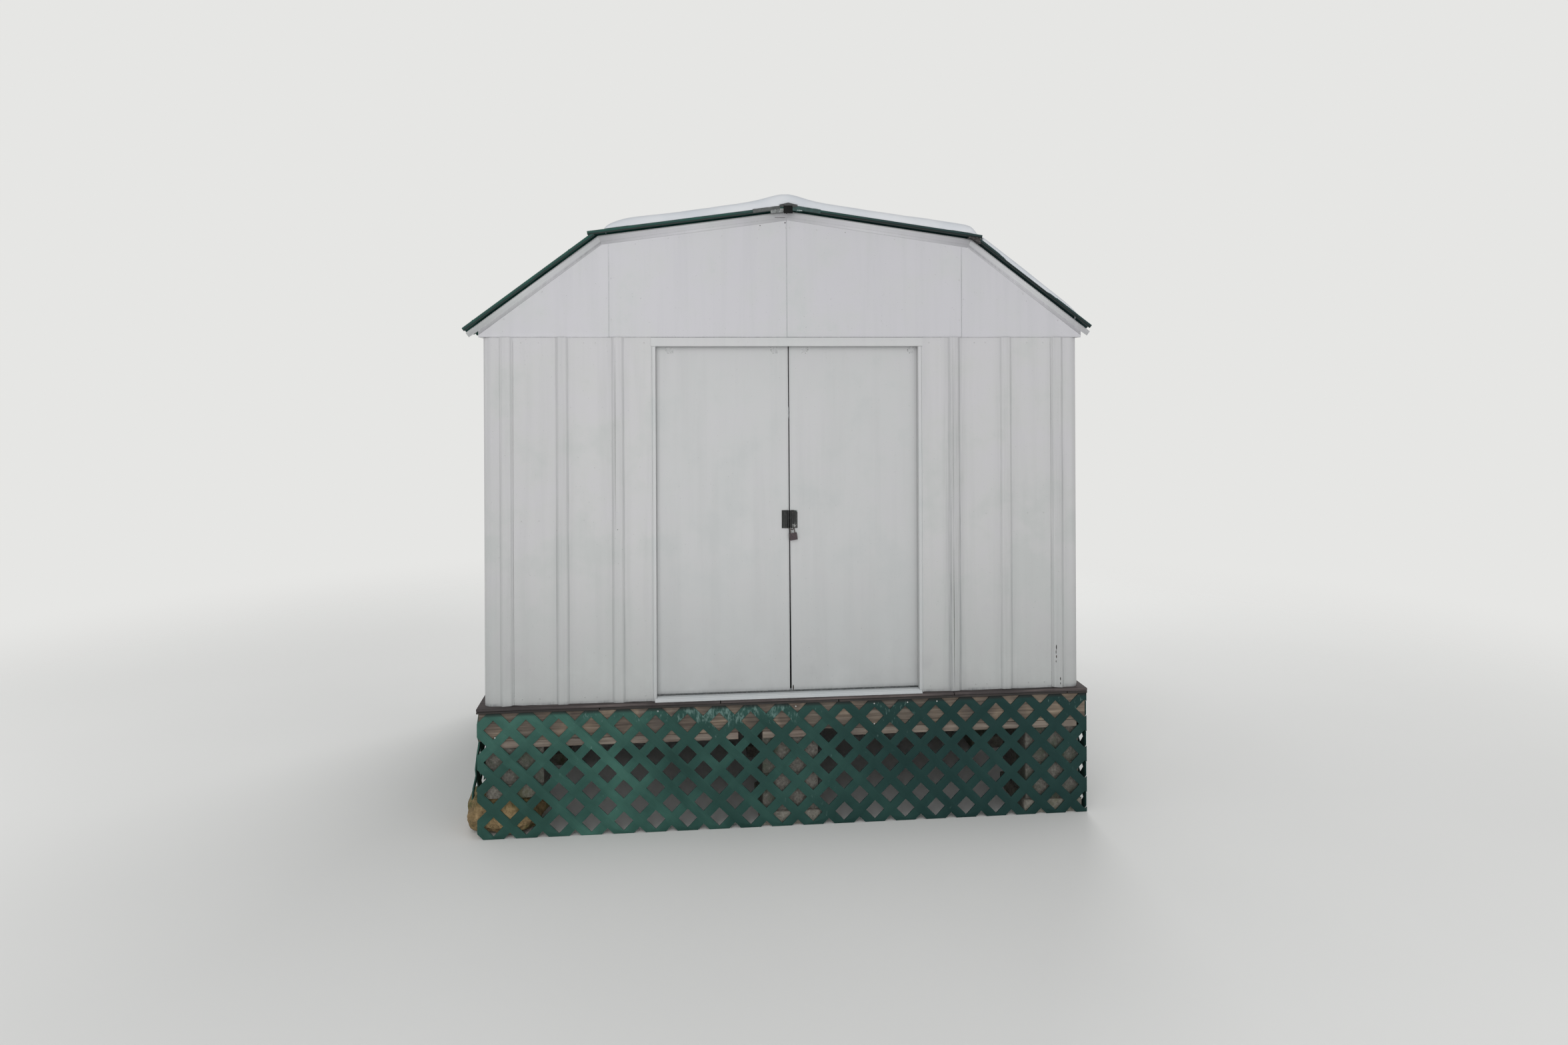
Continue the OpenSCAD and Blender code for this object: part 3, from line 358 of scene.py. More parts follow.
BLACK_WORN = moulded("moulded black plastic rubbed pale in one place", "#191b1a", "#252827", "#434846",
                     (MEET + 0.0205, DOOR_LOW.y - 0.003, FLOOR + 0.8795))
FADED = moulded("bleached broken plastic", "#6f7775", "#8d9492", "#a3a7a6")
CAP = moulded("greyed flashing", "#222525", "#2e3031", "#474a4a")
TONGUE = moulded("blackened flashing", "#060707", "#0a0c0c", "#1a1c1c", specular=0.12)
GREY_TAPE = moulded("greyed flashing strip", "#333837", "#474b4a", "#5d6261")
PALE_TAPE = moulded("pale speckled end of a flashing strip", "#45494a", "#7f8281", "#a3a3a0")
TEAL_TAPE = moulded("teal painted flashing strip", "#0b2a28", "#123936", "#28514b")
LOCK = lock_steel("dark enamelled padlock plates", "#493d41", "#352c31", "#5a4648", 0.20, 0.55)
SHACKLE = lock_steel("rusting steel shackle", "#5f5b59", "#353231", "#6b4c3a", 0.8, 0.42)
ROLLER = lock_steel("plated steel hanger", "#7b7f81", "#55595b", "#8b8781", 0.7, 0.4)
# Also used for a painted glint on a roof hem.
NAILS_AND_GLINT = lock_steel("pale zinc nail heads", "#c3c8c7", "#9a9f9e", "#8a6f58", 0.3, 0.5)
DARK_HOLE = lock_steel("rusted screw", "#3d3836", "#262322", "#5a4538", 0.2, 0.7)
# Also paints the shade in the gaps where wall sheets lap.
SPECKS_AND_GAP_SHADE = lock_steel("white rust and dirt on zinc", "#70746f", "#5c605e", "#807a6c", 0.0, 0.8)
SNOW = settled_snow()


def dress(material, *nodes):
    """Gives a material to CAD nodes that are shown as they are."""
    for node in nodes:
        mesh = NODES[node].data
        mesh.materials.clear()
        mesh.materials.append(material)


dress(WALL, "eave_rails")
dress(ZINC, "floor_frame", "wall_channels", "door_track", "rear_top_channel", "gable_braces", "roof_beams",
      "left_door_braces", "right_door_braces")
dress(ROLLER, "left_door_hangers", "right_door_hangers")


# Working by hand

def clear_hands():
    """Object mode with nothing selected."""
    if bpy.context.object and bpy.context.object.mode != "OBJECT":
        bpy.ops.object.mode_set(mode="OBJECT")
    bpy.ops.object.select_all(action="DESELECT")


def take(piece):
    """Selects one piece alone and makes it the active one."""
    clear_hands()
    piece.select_set(True)
    bpy.context.view_layer.objects.active = piece


def open_up(piece):
    """Opens one piece for editing, with nothing of it selected."""
    take(piece)
    bpy.ops.object.mode_set(mode="EDIT")
    bpy.ops.mesh.select_all(action="DESELECT")


def pick(piece, kind, test):
    """Selects only the verts, edges or faces whose middle and direction pass the test."""
    bpy.ops.mesh.select_mode(type=kind)
    bpy.ops.mesh.select_all(action="DESELECT")
    shape = bmesh.from_edit_mesh(piece.data)
    for item in {"VERT": shape.verts, "EDGE": shape.edges, "FACE": shape.faces}[kind]:
        if kind == "VERT":
            found = test(item.co, item.normal)
        elif kind == "EDGE":
            a, b = item.verts[0].co, item.verts[1].co
            found = test((a + b) / 2, (b - a).normalized())
        else:
            found = test(item.calc_center_median(), item.normal)
        if found:
            item.select_set(True)
    shape.select_flush_mode()
    bmesh.update_edit_mesh(piece.data)


def cut(place, normal, keep_below=False, fill=False):
    """Cuts right through the open piece; keep_below throws away what lies on the normal's side."""
    bpy.ops.mesh.select_all(action="SELECT")
    bpy.ops.mesh.bisect(plane_co=place, plane_no=normal, clear_outer=keep_below, use_fill=fill)


def slice_up(count, start, end, axis=0):
    """Cuts the open piece across into equal lengths between two places along an axis."""
    way = Vector([int(k == axis) for k in range(3)])
    for i in range(1, count):
        cut(way * (start + (end - start) * i / count), way)


def gridded(piece, cuts):
    """Divides every face of a piece into a grid."""
    open_up(piece)
    bpy.ops.mesh.select_all(action="SELECT")
    bpy.ops.mesh.subdivide(number_cuts=cuts)
    clear_hands()
    return piece


def inset(thickness, shift):
    """Insets the selected faces of the open piece and moves what is inside."""
    bpy.ops.mesh.inset(thickness=thickness)
    bpy.ops.transform.translate(value=shift)


def close_up():
    """Fills the holes that cuts have left in the open piece, and puts it down."""
    bpy.ops.mesh.select_all(action="SELECT")
    bpy.ops.mesh.fill_holes(sides=0)
    clear_hands()


def face_out(piece, outward):
    """Turns the faces of an open sheet so that most of its area looks outward."""
    shape = bmesh.from_edit_mesh(piece.data)
    if sum(f.normal.dot(outward) * f.calc_area() for f in shape.faces) < 0:
        bpy.ops.mesh.select_all(action="SELECT")
        bpy.ops.mesh.flip_normals()


def worked(piece, kind, **settings):
    """Gives a piece one modifier and applies it."""
    take(piece)
    bpy.ops.object.modifier_add(type=kind)
    made = piece.modifiers[-1]
    for key, value in settings.items():
        setattr(made, key, value)
    bpy.ops.object.modifier_apply(modifier=made.name)
    return piece


def eased(piece, width, segments, angle=30):
    """Rounds the sharp edges of a piece, by its width."""
    return worked(piece, "BEVEL", width=width, segments=segments, limit_method="ANGLE",
                  angle_limit=math.radians(angle), harden_normals=False)


def shaded(piece, angle=32):
    """Smooth shading across soft edges only."""
    take(piece)
    bpy.ops.object.shade_smooth_by_angle(angle=math.radians(angle))
    return piece


def towards(degrees):
    """Direction at an angle up from +X, across the front."""
    return Vector((math.cos(math.radians(degrees)), 0, math.sin(math.radians(degrees))))


def block(name, low, high):
    """A box primitive between two corners."""
    clear_hands()
    low, high = Vector(low), Vector(high)
    bpy.ops.mesh.primitive_cube_add(size=1, location=(low + high) / 2)
    piece = bpy.context.object
    piece.name = name
    piece.scale = high - low
    bpy.ops.object.transform_apply()
    return piece


def upright_plate(name, low_x, high_x, y, low_z, high_z):
    """A plane primitive that stands in X and Z and looks to the front."""
    clear_hands()
    bpy.ops.mesh.primitive_plane_add(size=1, location=((low_x + high_x) / 2, y, (low_z + high_z) / 2),
                                     rotation=(math.pi / 2, 0, 0))
    plate = bpy.context.object
    plate.name = name
    plate.scale = (high_x - low_x, high_z - low_z, 1)
    bpy.ops.object.transform_apply()
    return plate


def rod(name, start, end, radius, sides=24):
    """A cylinder primitive from one point to another."""
    clear_hands()
    start, end = Vector(start), Vector(end)
    bpy.ops.mesh.primitive_cylinder_add(vertices=sides, radius=radius, depth=(end - start).length,
                                        location=(start + end) / 2,
                                        rotation=(end - start).to_track_quat("Z", "Y").to_euler())
    piece = bpy.context.object
    piece.name = name
    bpy.ops.object.transform_apply()
    return piece


def placed(piece, name, matrix):
    """A copy of a piece with its own mesh, put elsewhere; a mirrored copy keeps its faces outward."""
    made = piece.copy()
    made.data = piece.data.copy()
    made.name = name
    bpy.context.scene.collection.objects.link(made)
    made.data.transform(matrix)
    if matrix.determinant() < 0:
        made.data.flip_normals()
    return made


def joined(name, pieces):
    """Joins pieces into one."""
    clear_hands()
    for piece in pieces:
        piece.select_set(True)
    bpy.context.view_layer.objects.active = pieces[0]
    if len(pieces) > 1:
        bpy.ops.object.join()
    pieces[0].name = name
    return pieces[0]


def soil(piece, rule, layer="grime"):
    """Writes a share from 0 to 1 at each point of a piece, for its material to read as dirt, painted shade
    and painted highlights.
    """
    share = piece.data.attributes.new(layer, "FLOAT", "POINT")
    for i, vert in enumerate(piece.data.vertices):
        share.data[i].value = max(0.0, min(1.0, rule(vert.co)))
    return piece


def fitted(piece, material, slot, *stands_for, body=ROOT):
    """Finishes a piece: its material, the body it rides on and the CAD nodes it stands for, which it hides;
    slot is not used.
    """
    piece.data.materials.clear()
    piece.data.materials.append(material)
    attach(piece, body)
    if stands_for:
        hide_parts(*stands_for)
    return piece


def folded(name, points, run, outward, fold, rounds=2, cuts=(), thick=0.0012, side=-1):
    """A sheet folded along a profile: a strip as long as the run, drawn on edge by edge, its folds rounded.

    Each cut is a place and a normal; side -1 puts the thickness behind the profile and 1 puts it in front.
    """
    clear_hands()
    along, first = run.normalized(), points[1] - points[0]
    lie = Matrix((along, first.normalized(), along.cross(first.normalized()))).transposed()
    bpy.ops.mesh.primitive_plane_add(size=1, location=(points[0] + points[1] + run) / 2,
                                     rotation=lie.to_euler())
    sheet = bpy.context.object
    sheet.name = name
    sheet.scale = (run.length, first.length, 1)
    bpy.ops.object.transform_apply()
    open_up(sheet)
    tip = points[1] + run / 2
    pick(sheet, "EDGE", lambda spot, way: (spot - tip).length < 1e-4)
    for here, there in zip(points[1:], points[2:]):
        bpy.ops.mesh.extrude_region_move(TRANSFORM_OT_translate={"value": there - here})
    bends = [here + run / 2 for back, here, there in zip(points, points[1:], points[2:])
             if (here - back).angle(there - here) > 0.3]
    if fold and bends:
        pick(sheet, "EDGE", lambda spot, way: any((spot - bend).length < 1e-4 for bend in bends))
        bpy.ops.mesh.bevel(offset=fold, segments=rounds, affect="EDGES")
    for place, normal in cuts:
        cut(place, normal)
    face_out(sheet, Vector(outward))
    worked(sheet, "SOLIDIFY", thickness=thick, offset=side)
    return shaded(sheet)


# Walls

RIB_FOOT, RIB_CREST = 0.060, 0.040
RIB_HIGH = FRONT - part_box("front_left_panel")[0].y
CORNER_LEG, CORNER_ROUND, CORNER_RIB = 0.150, 0.045, 0.115
LAP_EDGE = 0.0065
FLAT_STEP = 0.045
RISE = Vector((0, 0, WALL_TOP - FLOOR))
# Cuts across the wall sheets, close together at the foot and the top, where dirt and painted shade lie.
HEIGHTS = [((0, 0, z), (0, 0, 1)) for z in (
    FLOOR + 0.005, FLOOR + 0.018, FLOOR + 0.10, FLOOR + 0.30, FLOOR + 0.65, FLOOR + 1.0, FLOOR + 1.4,
    WALL_TOP - 0.030, WALL_TOP - 0.005)]


def rib_steps(middle):
    """Places along a wall and depths in front of it over one rib, with close steps where dirt and painted
    shade lie.
    """
    foot, crest, margin = RIB_FOOT / 2, RIB_CREST / 2, 0.0035
    rise = RIB_HIGH * margin / (foot - crest)
    half = [(foot + margin, 0), (foot, 0), (foot - margin, rise), (crest, RIB_HIGH),
            (crest - margin, RIB_HIGH)]
    return [(middle - u, out) for u, out in half] + [(middle + u, out) for u, out in reversed(half)]


def wall_dirt_and_shade(folds, along, smears=()):
    """Dirt and painted shade on a wall: thin fold lines of both, faint rib smears, a painted shadow along its
    top, spots at its foot.

    Each fold is a place with its strength at the top and at the foot; each smear is a middle and a strength.
    """
    def rule(co):
        height = (co.z - FLOOR) / RISE.z
        place = co.dot(along)
        dirt = 0.0
        for middle, strength in smears:
            if abs(place - middle) < RIB_FOOT / 2 + 0.004:
                dirt = max(dirt, strength * (1.15 - 0.3 * height))
        for fold, top, foot in folds:
            if abs(place - fold) < 0.0030:
                dirt = max(dirt, top * height + foot * (1 - height))
        # Painted shadow along the top, under the gable's flared hem.
        if co.z > WALL_TOP - 0.004:
            dirt = max(dirt, 0.30)
        if co.z < FLOOR + 0.006:
            dirt = max(dirt, 0.45 + 0.75 * noise.noise(co * 31))
        return dirt
    return rule


def feet_of(middle, top, foot):
    """The two folds at the feet of a rib, with the strength of their dirt and painted shade."""
    return [(middle + way * RIB_FOOT / 2, top, foot) for way in (-1, 1)]


def filled(steps):
    """The same steps with more of them on the long flats, no more than FLAT_STEP apart."""
    more = steps[:1]
    for (a, low), (b, high) in zip(steps, steps[1:]):
        count = max(1, math.ceil((b - a) / FLAT_STEP))
        more += [(a + (b - a) * i / count, low + (high - low) * i / count) for i in range(1, count + 1)]
    return more


def uneven_foot(piece):
    """Lifts the cut bottom edge of a wall sheet unevenly, by a few millimetres at most."""
    most = 0.0042
    for vert in piece.data.vertices:
        if vert.co.z < FLOOR + 0.001:
            vert.co.z += most * abs(noise.noise(vert.co * 14))
    return piece


def wall_sheet(name, start, end, ribs, lie, outward, folds, smears):
    """One roll-formed sheet between two places along its wall; lie turns a place and a depth into a point."""
    steps = [(start, 0), (start + 0.005, 0)]
    for middle in ribs:
        steps += [s for s in rib_steps(middle) if start + 0.012 < s[0] < end - 0.012]
    steps += [(end - 0.005, 0), (end, 0)]
    sheet = folded(name, [lie(u, out) for u, out in filled(steps)], RISE, outward, fold=0.0028, cuts=HEIGHTS)
    along = (lie(1, 0) - lie(0, 0)).normalized()
    known = [f[0] for f in folds]
    faint = [f for m in ribs for f in feet_of(m, 0.22, 0.40) if all(abs(f[0] - k) > 0.005 for k in known)]
    return soil(uneven_foot(sheet), wall_dirt_and_shade(faint + list(folds), along, smears))


def front_at(u, out):
    return Vector((u, FRONT - out, FLOOR))


def rear_at(u, out):
    return Vector((u, -FRONT + out, FLOOR))


def right_at(u, out):
    return Vector((HALF_W + out, u, FLOOR))


def corner_panels():
    """Rounded corner panels, each with one rib on both of its legs."""
    ribs = [s for s in rib_steps(CORNER_RIB) if s[0] < CORNER_LEG - 0.001]
    arc = [(CORNER_ROUND * (1 - math.cos(a)), CORNER_ROUND * (1 - math.sin(a)))
           for a in (math.pi / 2 * i / 10 for i in range(11))]
    path = [(0, CORNER_LEG)] + [(-out, u) for u, out in reversed(ribs)] + arc + [(u, -out) for u, out in ribs]
    path.append((CORNER_LEG, 0))
    points = [Vector((-HALF_W + x, FRONT + y, FLOOR)) for x, y in path]
    panel = folded("front_left_corner", points, RISE, (-1, -1, 0), fold=0.0028, cuts=HEIGHTS)
    uneven_foot(panel)
    right = placed(panel, "front_right_corner", FLIP_X)
    rear = [placed(panel, "rear_left_corner", FLIP_Y), placed(right, "rear_right_corner", FLIP_Y)]
    for piece, side, front, strength in ((panel, -1, 1, 0.16), (right, 1, 1, 0.30), (rear[0], -1, -1, 0.2),
                                         (rear[1], 1, -1, 0.2)):
        rib = side * (HALF_W - CORNER_RIB)
        feet = feet_of(rib, strength, strength + 0.16)
        on_front = wall_dirt_and_shade(feet, Vector((1, 0, 0)), [(rib, strength * 0.4)])
        on_side = wall_dirt_and_shade(feet_of(front * (FRONT + CORNER_RIB), 0.2, 0.4), Vector((0, 1, 0)))
        soil(piece, lambda co: on_front(co) if abs(co.y) > HALF_D - 0.010 else on_side(co))
    fitted(joined("front_corner_panels", [panel, right]), WALL, "white_steel", "front_corners")
    fitted(joined("rear_corner_panels", rear), WALL, "white_steel", "rear_corners")


def wall_run(name, half, bays, lie, outward):
    """Three lapped sheets that fill a wall between its corner panels."""
    edge, first = half - CORNER_LEG - 0.001, half - CORNER_RIB
    pitch = 2 * first / bays
    ribs = [-first + i * pitch for i in range(1, bays)]
    lap = pitch * 1.5
    pieces = []
    for i, (a, b) in enumerate(((-edge, -lap - 0.0005), (-lap + 0.0005, lap - 0.0005), (lap + 0.0005, edge))):
        mine = [m for m in ribs if a < m < b]
        pieces.append(wall_sheet(f"{name}_{i}", a, b, mine, lie, outward, [(a, 0.3, 0.5), (b, 0.3, 0.5)],
                                 [(m, 0.10) for m in mine[::2]]))
    return joined(name, pieces)


def lap_gap(name, x, low, high, wide):
    """A thin dark plate that paints the shade at the lapped edge of a wall sheet, widest at its middle,
    between two heights.
    """
    foot, head = FLOOR + low, FLOOR + high
    line = upright_plate(name, x - wide, x + wide, FRONT - RIB_HIGH - 0.0002, foot, head)
    gridded(line, 9)
    for vert in line.data.vertices:
        up = (vert.co.z - foot) / (head - foot)
        vert.co.x = x + (vert.co.x - x) * max(0.12, math.sin(math.pi * up))
    return worked(line, "SOLIDIFY", thickness=0.0004, offset=1)


def walls():
    corner_panels()
    first, last = DOOR_HALF + 0.193, HALF_W - CORNER_RIB
    ribs = [first, (first + last) / 2]
    near, far = DOOR_HALF + 0.0015, HALF_W - CORNER_LEG - 0.001
    foot, crest = RIB_FOOT / 2, RIB_CREST / 2
    folds = [(ribs[0] + foot, 0.45, 1.0), (ribs[0] - foot, 0.30, 0.55), (ribs[0] + crest, 0.30, 0.45),
             (ribs[0] - crest, 0.25, 0.75), (ribs[1] + foot, 0.22, 0.50), (ribs[1] - foot, 0.25, 0.45),
             (near, 0.2, 0.3)]
    right = wall_sheet("front_right_sheet", near, far, ribs, front_at, TOWARDS_FRONT, folds,
                       [(ribs[0], 0.27), (ribs[1], 0.12)])
    fitted(right, WALL, "white_steel", "front_right_panel")
    folds = [(foot - ribs[0], 0.28, 0.50), (-foot - ribs[0], 0.16, 0.35), (foot - ribs[1], 0.30, 0.60),
             (-foot - ribs[1], 0.20, 0.45), (-near, 0.2, 0.3)]
    left = wall_sheet("front_left_sheet", -far, -near, [-x for x in reversed(ribs)], front_at, TOWARDS_FRONT,
                      folds, [(-ribs[0], 0.08), (-ribs[1], 0.09)])
    fitted(left, WALL, "white_steel", "front_left_panel")
    # Where two sheets lap on a rib, their edge stands off a little; thin dark plates paint the shade in that
    # gap.
    lap, left_lap = ribs[0] - LAP_EDGE, LAP_EDGE - ribs[0]
    gaps = [lap_gap("lap_gap", lap, 0.02, 0.76, 0.0016), lap_gap("lap_gap", lap, 0.76, 1.80, 0.0004),
            lap_gap("lap_gap", left_lap - crest, 0.88, 1.82, 0.0010),
            chip("lap_gap", left_lap - 0.010, FRONT - RIB_HIGH, FLOOR + 0.88, 0.0026, 0.0022)]
    fitted(joined("lap_gaps", gaps), SPECKS_AND_GAP_SHADE, "white_steel")
    fitted(wall_run("rear_wall_sheets", HALF_W, 10, rear_at, (0, 1, 0)), WALL, "white_steel", "rear_wall")
    side = wall_run("right_wall_sheets", HALF_D, 8, right_at, (1, 0, 0))
    other = placed(side, "left_wall_sheets", FLIP_X)
    fitted(side, WALL, "white_steel", "right_wall")
    fitted(other, WALL, "white_steel", "left_wall")


# Gables and their trims

LEFT_DOWN = Vector((KNEE.x - EAVE.x, 0, EAVE.y - KNEE.y)).normalized()


def roof_at(x):
    """Height of the roof line at x."""
    x = abs(x)
    a, b = (Vector((0, RIDGE)), KNEE) if x < KNEE.x else (KNEE, EAVE)
    return a.y - (a.y - b.y) / (b.x - a.x) * (x - a.x)


def slope_normals():
    """Upward normals of the two slopes on the right-hand side."""
    upper = Vector((RIDGE - KNEE.y, 0, KNEE.x)).normalized()
    lower = Vector((KNEE.y - EAVE.y, 0, EAVE.x - KNEE.x)).normalized()
    return upper, lower


def slope_ways():
    """Ways down the two slopes on the right-hand side."""
    return [Vector((normal.z, 0, -normal.x)) for normal in slope_normals()]


def gable_sheet(name, start, end, dark_to):
    """A flat gable sheet cut to the roof line; its lower edge is flared, with painted shadow under it, darker
    as far as dark_to.
    """
    sheet = upright_plate(name, start, end, FRONT, WALL_TOP, RIDGE)
    open_up(sheet)
    upper, lower = slope_normals()
    for normal, point in ((upper, Vector((0, FRONT, RIDGE))), (lower, Vector((KNEE.x, FRONT, KNEE.y)))):
        cut(point - normal * 0.0018, normal, keep_below=True)
    if end > KNEE.x:
        # The outer lower corner is rounded.
        for degrees in (28, 62):
            way = towards(-degrees)
            cut(Vector((end, 0, WALL_TOP)) - way * 0.0035, way, keep_below=True)
    for x in (start + 0.005, start + 0.014, end - 0.014, end - 0.005):
        cut((x, 0, 0), (1, 0, 0))
    slice_up(16, start, end)
    for z in (WALL_TOP + 0.004, WALL_TOP + 0.012, WALL_TOP + 0.03, WALL_TOP + 0.16, WALL_TOP + 0.34):
        cut((0, 0, z), (0, 0, 1))
    face_out(sheet, Vector(TOWARDS_FRONT))
    worked(sheet, "SOLIDIFY", thickness=0.0010, offset=-1)
    for vert in sheet.data.vertices:
        flare = max(0.0, 1 - (vert.co.z - WALL_TOP) / 0.014)
        vert.co.y -= 0.0026 * flare * flare
        if vert.co.z < WALL_TOP + 0.002:
            vert.co.z += 0.0014 * noise.noise(Vector((vert.co.x * 11, 3, 0)))

    def dirt(co):
        # Painted shadow under the flared lower edge, strongest over the doors.
        if co.z < WALL_TOP + 0.003:
            return 0.75 if co.x < dark_to else 0.50 + 0.6 * noise.noise(co * 17)
        if co.z > roof_at(co.x) - 0.03:
            return 0.0
        if co.x < 0.003:
            return 0.50
        return 0.30 if min(co.x - start, end - co.x) < 0.002 and co.x < 1 else 0.0
    return shaded(soil(sheet, dirt), 50)


def gables():
    seam, reach = 0.917, HALF_W + 0.018
    spans = {"end": (seam + 0.0005, reach), "centre": (0.0005, seam - 0.0005)}
    rear = []
    for which, (a, b) in spans.items():
        right = gable_sheet(f"gable_{which}_right", a, b, DOOR_HALF + 0.02)
        left = placed(right, f"gable_{which}_left", FLIP_X)
        rear += [placed(right, "rear_a", FLIP_Y), placed(left, "rear_b", FLIP_Y)]
        # The front sheets meet a little left of the middle.
        aside, near = 0.008, 0.030
        for vert in (*right.data.vertices, *left.data.vertices):
            vert.co.x -= aside * max(0.0, 1 - abs(vert.co.x) / near)
        name = "front_gable_end_sheets" if which == "end" else "front_gable_centre_sheets"
        fitted(joined(name, [right, left]), GABLE, "white_steel",
               "front_gable_ends" if which == "end" else "front_gable_centres")
    fitted(joined("rear_gable_sheets", rear), GABLE, "white_steel", "rear_gable")


def rake_trim(name, start, end, upper):
    """One length of the white trim: a strip turned up to the light, one turned down, and a cove."""
    normal = slope_normals()[0 if upper else 1]
    first = Vector((start, 0, roof_at(start + 1e-6)))
    last = Vector((end, 0, roof_at(end - 1e-6)))
    slope = (last - first).normalized()
    run = last - first + slope * 0.12

    def at(y, down):
        return Vector((0, FRONT + y, 0)) + first - slope * 0.06 - normal * down
    points = [at(0.0012, 0.0002), at(-0.0008, 0.0002), at(-0.0024, 0.0108), at(-0.0016, 0.0128),
              at(-0.0014, 0.0280), at(-0.0006, 0.0300), at(-0.0010, 0.0360), at(-0.0007, 0.0440),
              at(-0.0001, 0.0470)]
    trim = folded(name, points, run, TOWARDS_FRONT, fold=0.0, thick=0.0008)
    open_up(trim)
    # The two lengths are mitred where the slopes meet.
    share = sum(slope_normals(), Vector())
    mitre = Vector((share.z, 0, -share.x)).normalized()
    knee = Vector((KNEE.x, 0, KNEE.y))
    ends = ([(Vector((start, 0, 0)), Vector((-1, 0, 0))), (knee - mitre * 0.0004, mitre)] if upper else
            [(knee + mitre * 0.0004, -mitre), (last, slope)])
    for spot, way in ends:
        cut(spot, way, keep_below=True, fill=True)
    clear_hands()
    reach = HALF_W + 0.0175
    for vert in trim.data.vertices:
        down = (roof_at(vert.co.x) - vert.co.z) * normal.z
        if not upper and down > 0.0285 and vert.co.x > reach:
            vert.co -= slope * ((vert.co.x - reach) / slope.x)

    def dirt(co):
        down = (roof_at(co.x) - co.z) * normal.z
        # Painted shadow along the step where the turned-down strip meets the cove, and faint shade at the
        # foot.
        if 0.0290 < down < 0.0310:
            return 0.24 if upper else 0.62
        return 0.06 if down > 0.0455 else 0.0
    return soil(trim, dirt)


def stretched(piece, more):
    """Lengthens the lower end of a left-hand piece down its slope."""
    for vert in piece.data.vertices:
        if vert.co.x < 0.030 - EAVE.x:
            vert.co += LEFT_DOWN * more


def trims():
    right = [rake_trim("trim_upper", 0.0005, KNEE.x - 0.0005, True),
             rake_trim("trim_lower", KNEE.x + 0.0005, EAVE.x, False)]
    front = right + [placed(p, p.name + "_left", FLIP_X) for p in right]
    rear = [placed(p, p.name + "_rear", FLIP_Y) for p in front]
    stretched(front[3], 0.016)
    strips = joined("rake_trim_strips", front + rear)
    fitted(strips, TRIM, "white_trim", "rake_trims")
    # Only the strip under the roof edge is in the brighter trim white, which partly paints light thrown up
    # from the ground; the rest takes the gable's colour.
    strips.data.materials.append(GABLE)
    for face in strips.data.polygons:
        spot = face.center
        upper = abs(spot.x) < KNEE.x
        down = (roof_at(spot.x) - spot.z) * slope_normals()[0 if upper else 1].z
        if down > (0.0115 if upper else 0.0290):
            face.material_index = 1
    # An empty screw hole and three rusted screws in the gable near the ridge.
    spots = [(-0.0145, -0.0005, 0.592, 0.0032), (-0.144, -0.0005, 0.576, 0.0026),
             (-0.006, -0.0024, 0.640, 0.0030), (0.30, -0.0005, 0.545, 0.0020)]
    marks = [screw_head(f"gable_mark_{i}", (x, FRONT + y, WALL_TOP + z), TOWARDS_FRONT, r, 0.0010)
             for i, (x, y, z, r) in enumerate(spots)]
    at = roof_at(0.04) - 0.0290
    crack = block("trim_crack", (-0.068, FRONT - 0.0022, at), (-0.0150, FRONT - 0.0005, at + 0.0016))
    fitted(joined("gable_marks", marks + [eased(crack, 0.0004, 1)]), DARK_HOLE, "white_steel")


# Roof

ROOF_HALF = HALF_D + 0.030
ROOF_RIB, ROOF_CREST, ROOF_FLANK, ROOF_LIP = 0.026, 0.044, 0.012, 0.018
ROOF_PITCH = 2 * (ROOF_HALF - ROOF_CREST / 2) / 9


def roof_profile(nest):
    """Depths and heights across a roof sheet from its front lip to its rear lip, made smaller by nest."""
    end, crest, top = ROOF_HALF - nest, ROOF_CREST - 2 * nest, ROOF_RIB - 0.0015
    low = ROOF_RIB - ROOF_LIP
    lip = [(end - 0.009, low + 0.0005), (end - 0.0005, low), (end + 0.0004, low + 0.0020),
           (end - 0.0002, low + 0.0048), (end - 0.0016, low + 0.0062), (end - 0.0016, low + 0.0094),
           (end, low + 0.0108), (end, top)]
    path = [(-y, h) for y, h in lip] + [(-end + crest, top), (-end + crest + ROOF_FLANK, 0)]
    for i in range(1, 9):
        c = -ROOF_HALF + ROOF_CREST / 2 + i * ROOF_PITCH
        path += [(c - crest / 2 - ROOF_FLANK, 0), (c - crest / 2, top), (c + crest / 2, top),
                 (c + crest / 2 + ROOF_FLANK, 0)]
    return path + [(end - crest - ROOF_FLANK, 0), (end - crest, top)] + lip[::-1]


def roof_sheet(name, origin, slope, normal, start, end, nest):
    """One ribbed roof sheet on its slope, between two distances down it, with hemmed lips."""
    first = Vector((origin.x, 0, origin.y)) + slope * start + normal * 0.0002
    points = [first + Vector((0, y, 0)) + normal * h for y, h in roof_profile(nest)]
    return folded(name, points, slope * (end - start), normal, fold=0.0026, thick=0.0013, side=1)


def lip_rule(corner, normal, strength, right, left):
    """One share on the lips at both ends of a roof sheet, up to a height over its slope on each side."""
    def rule(co):
        high = (Vector((abs(co.x), 0, co.z)) - corner).dot(normal)
        return strength if abs(co.y) > ROOF_HALF - 0.004 and high < (right if co.x > 0 else left) else 0.0
    return rule


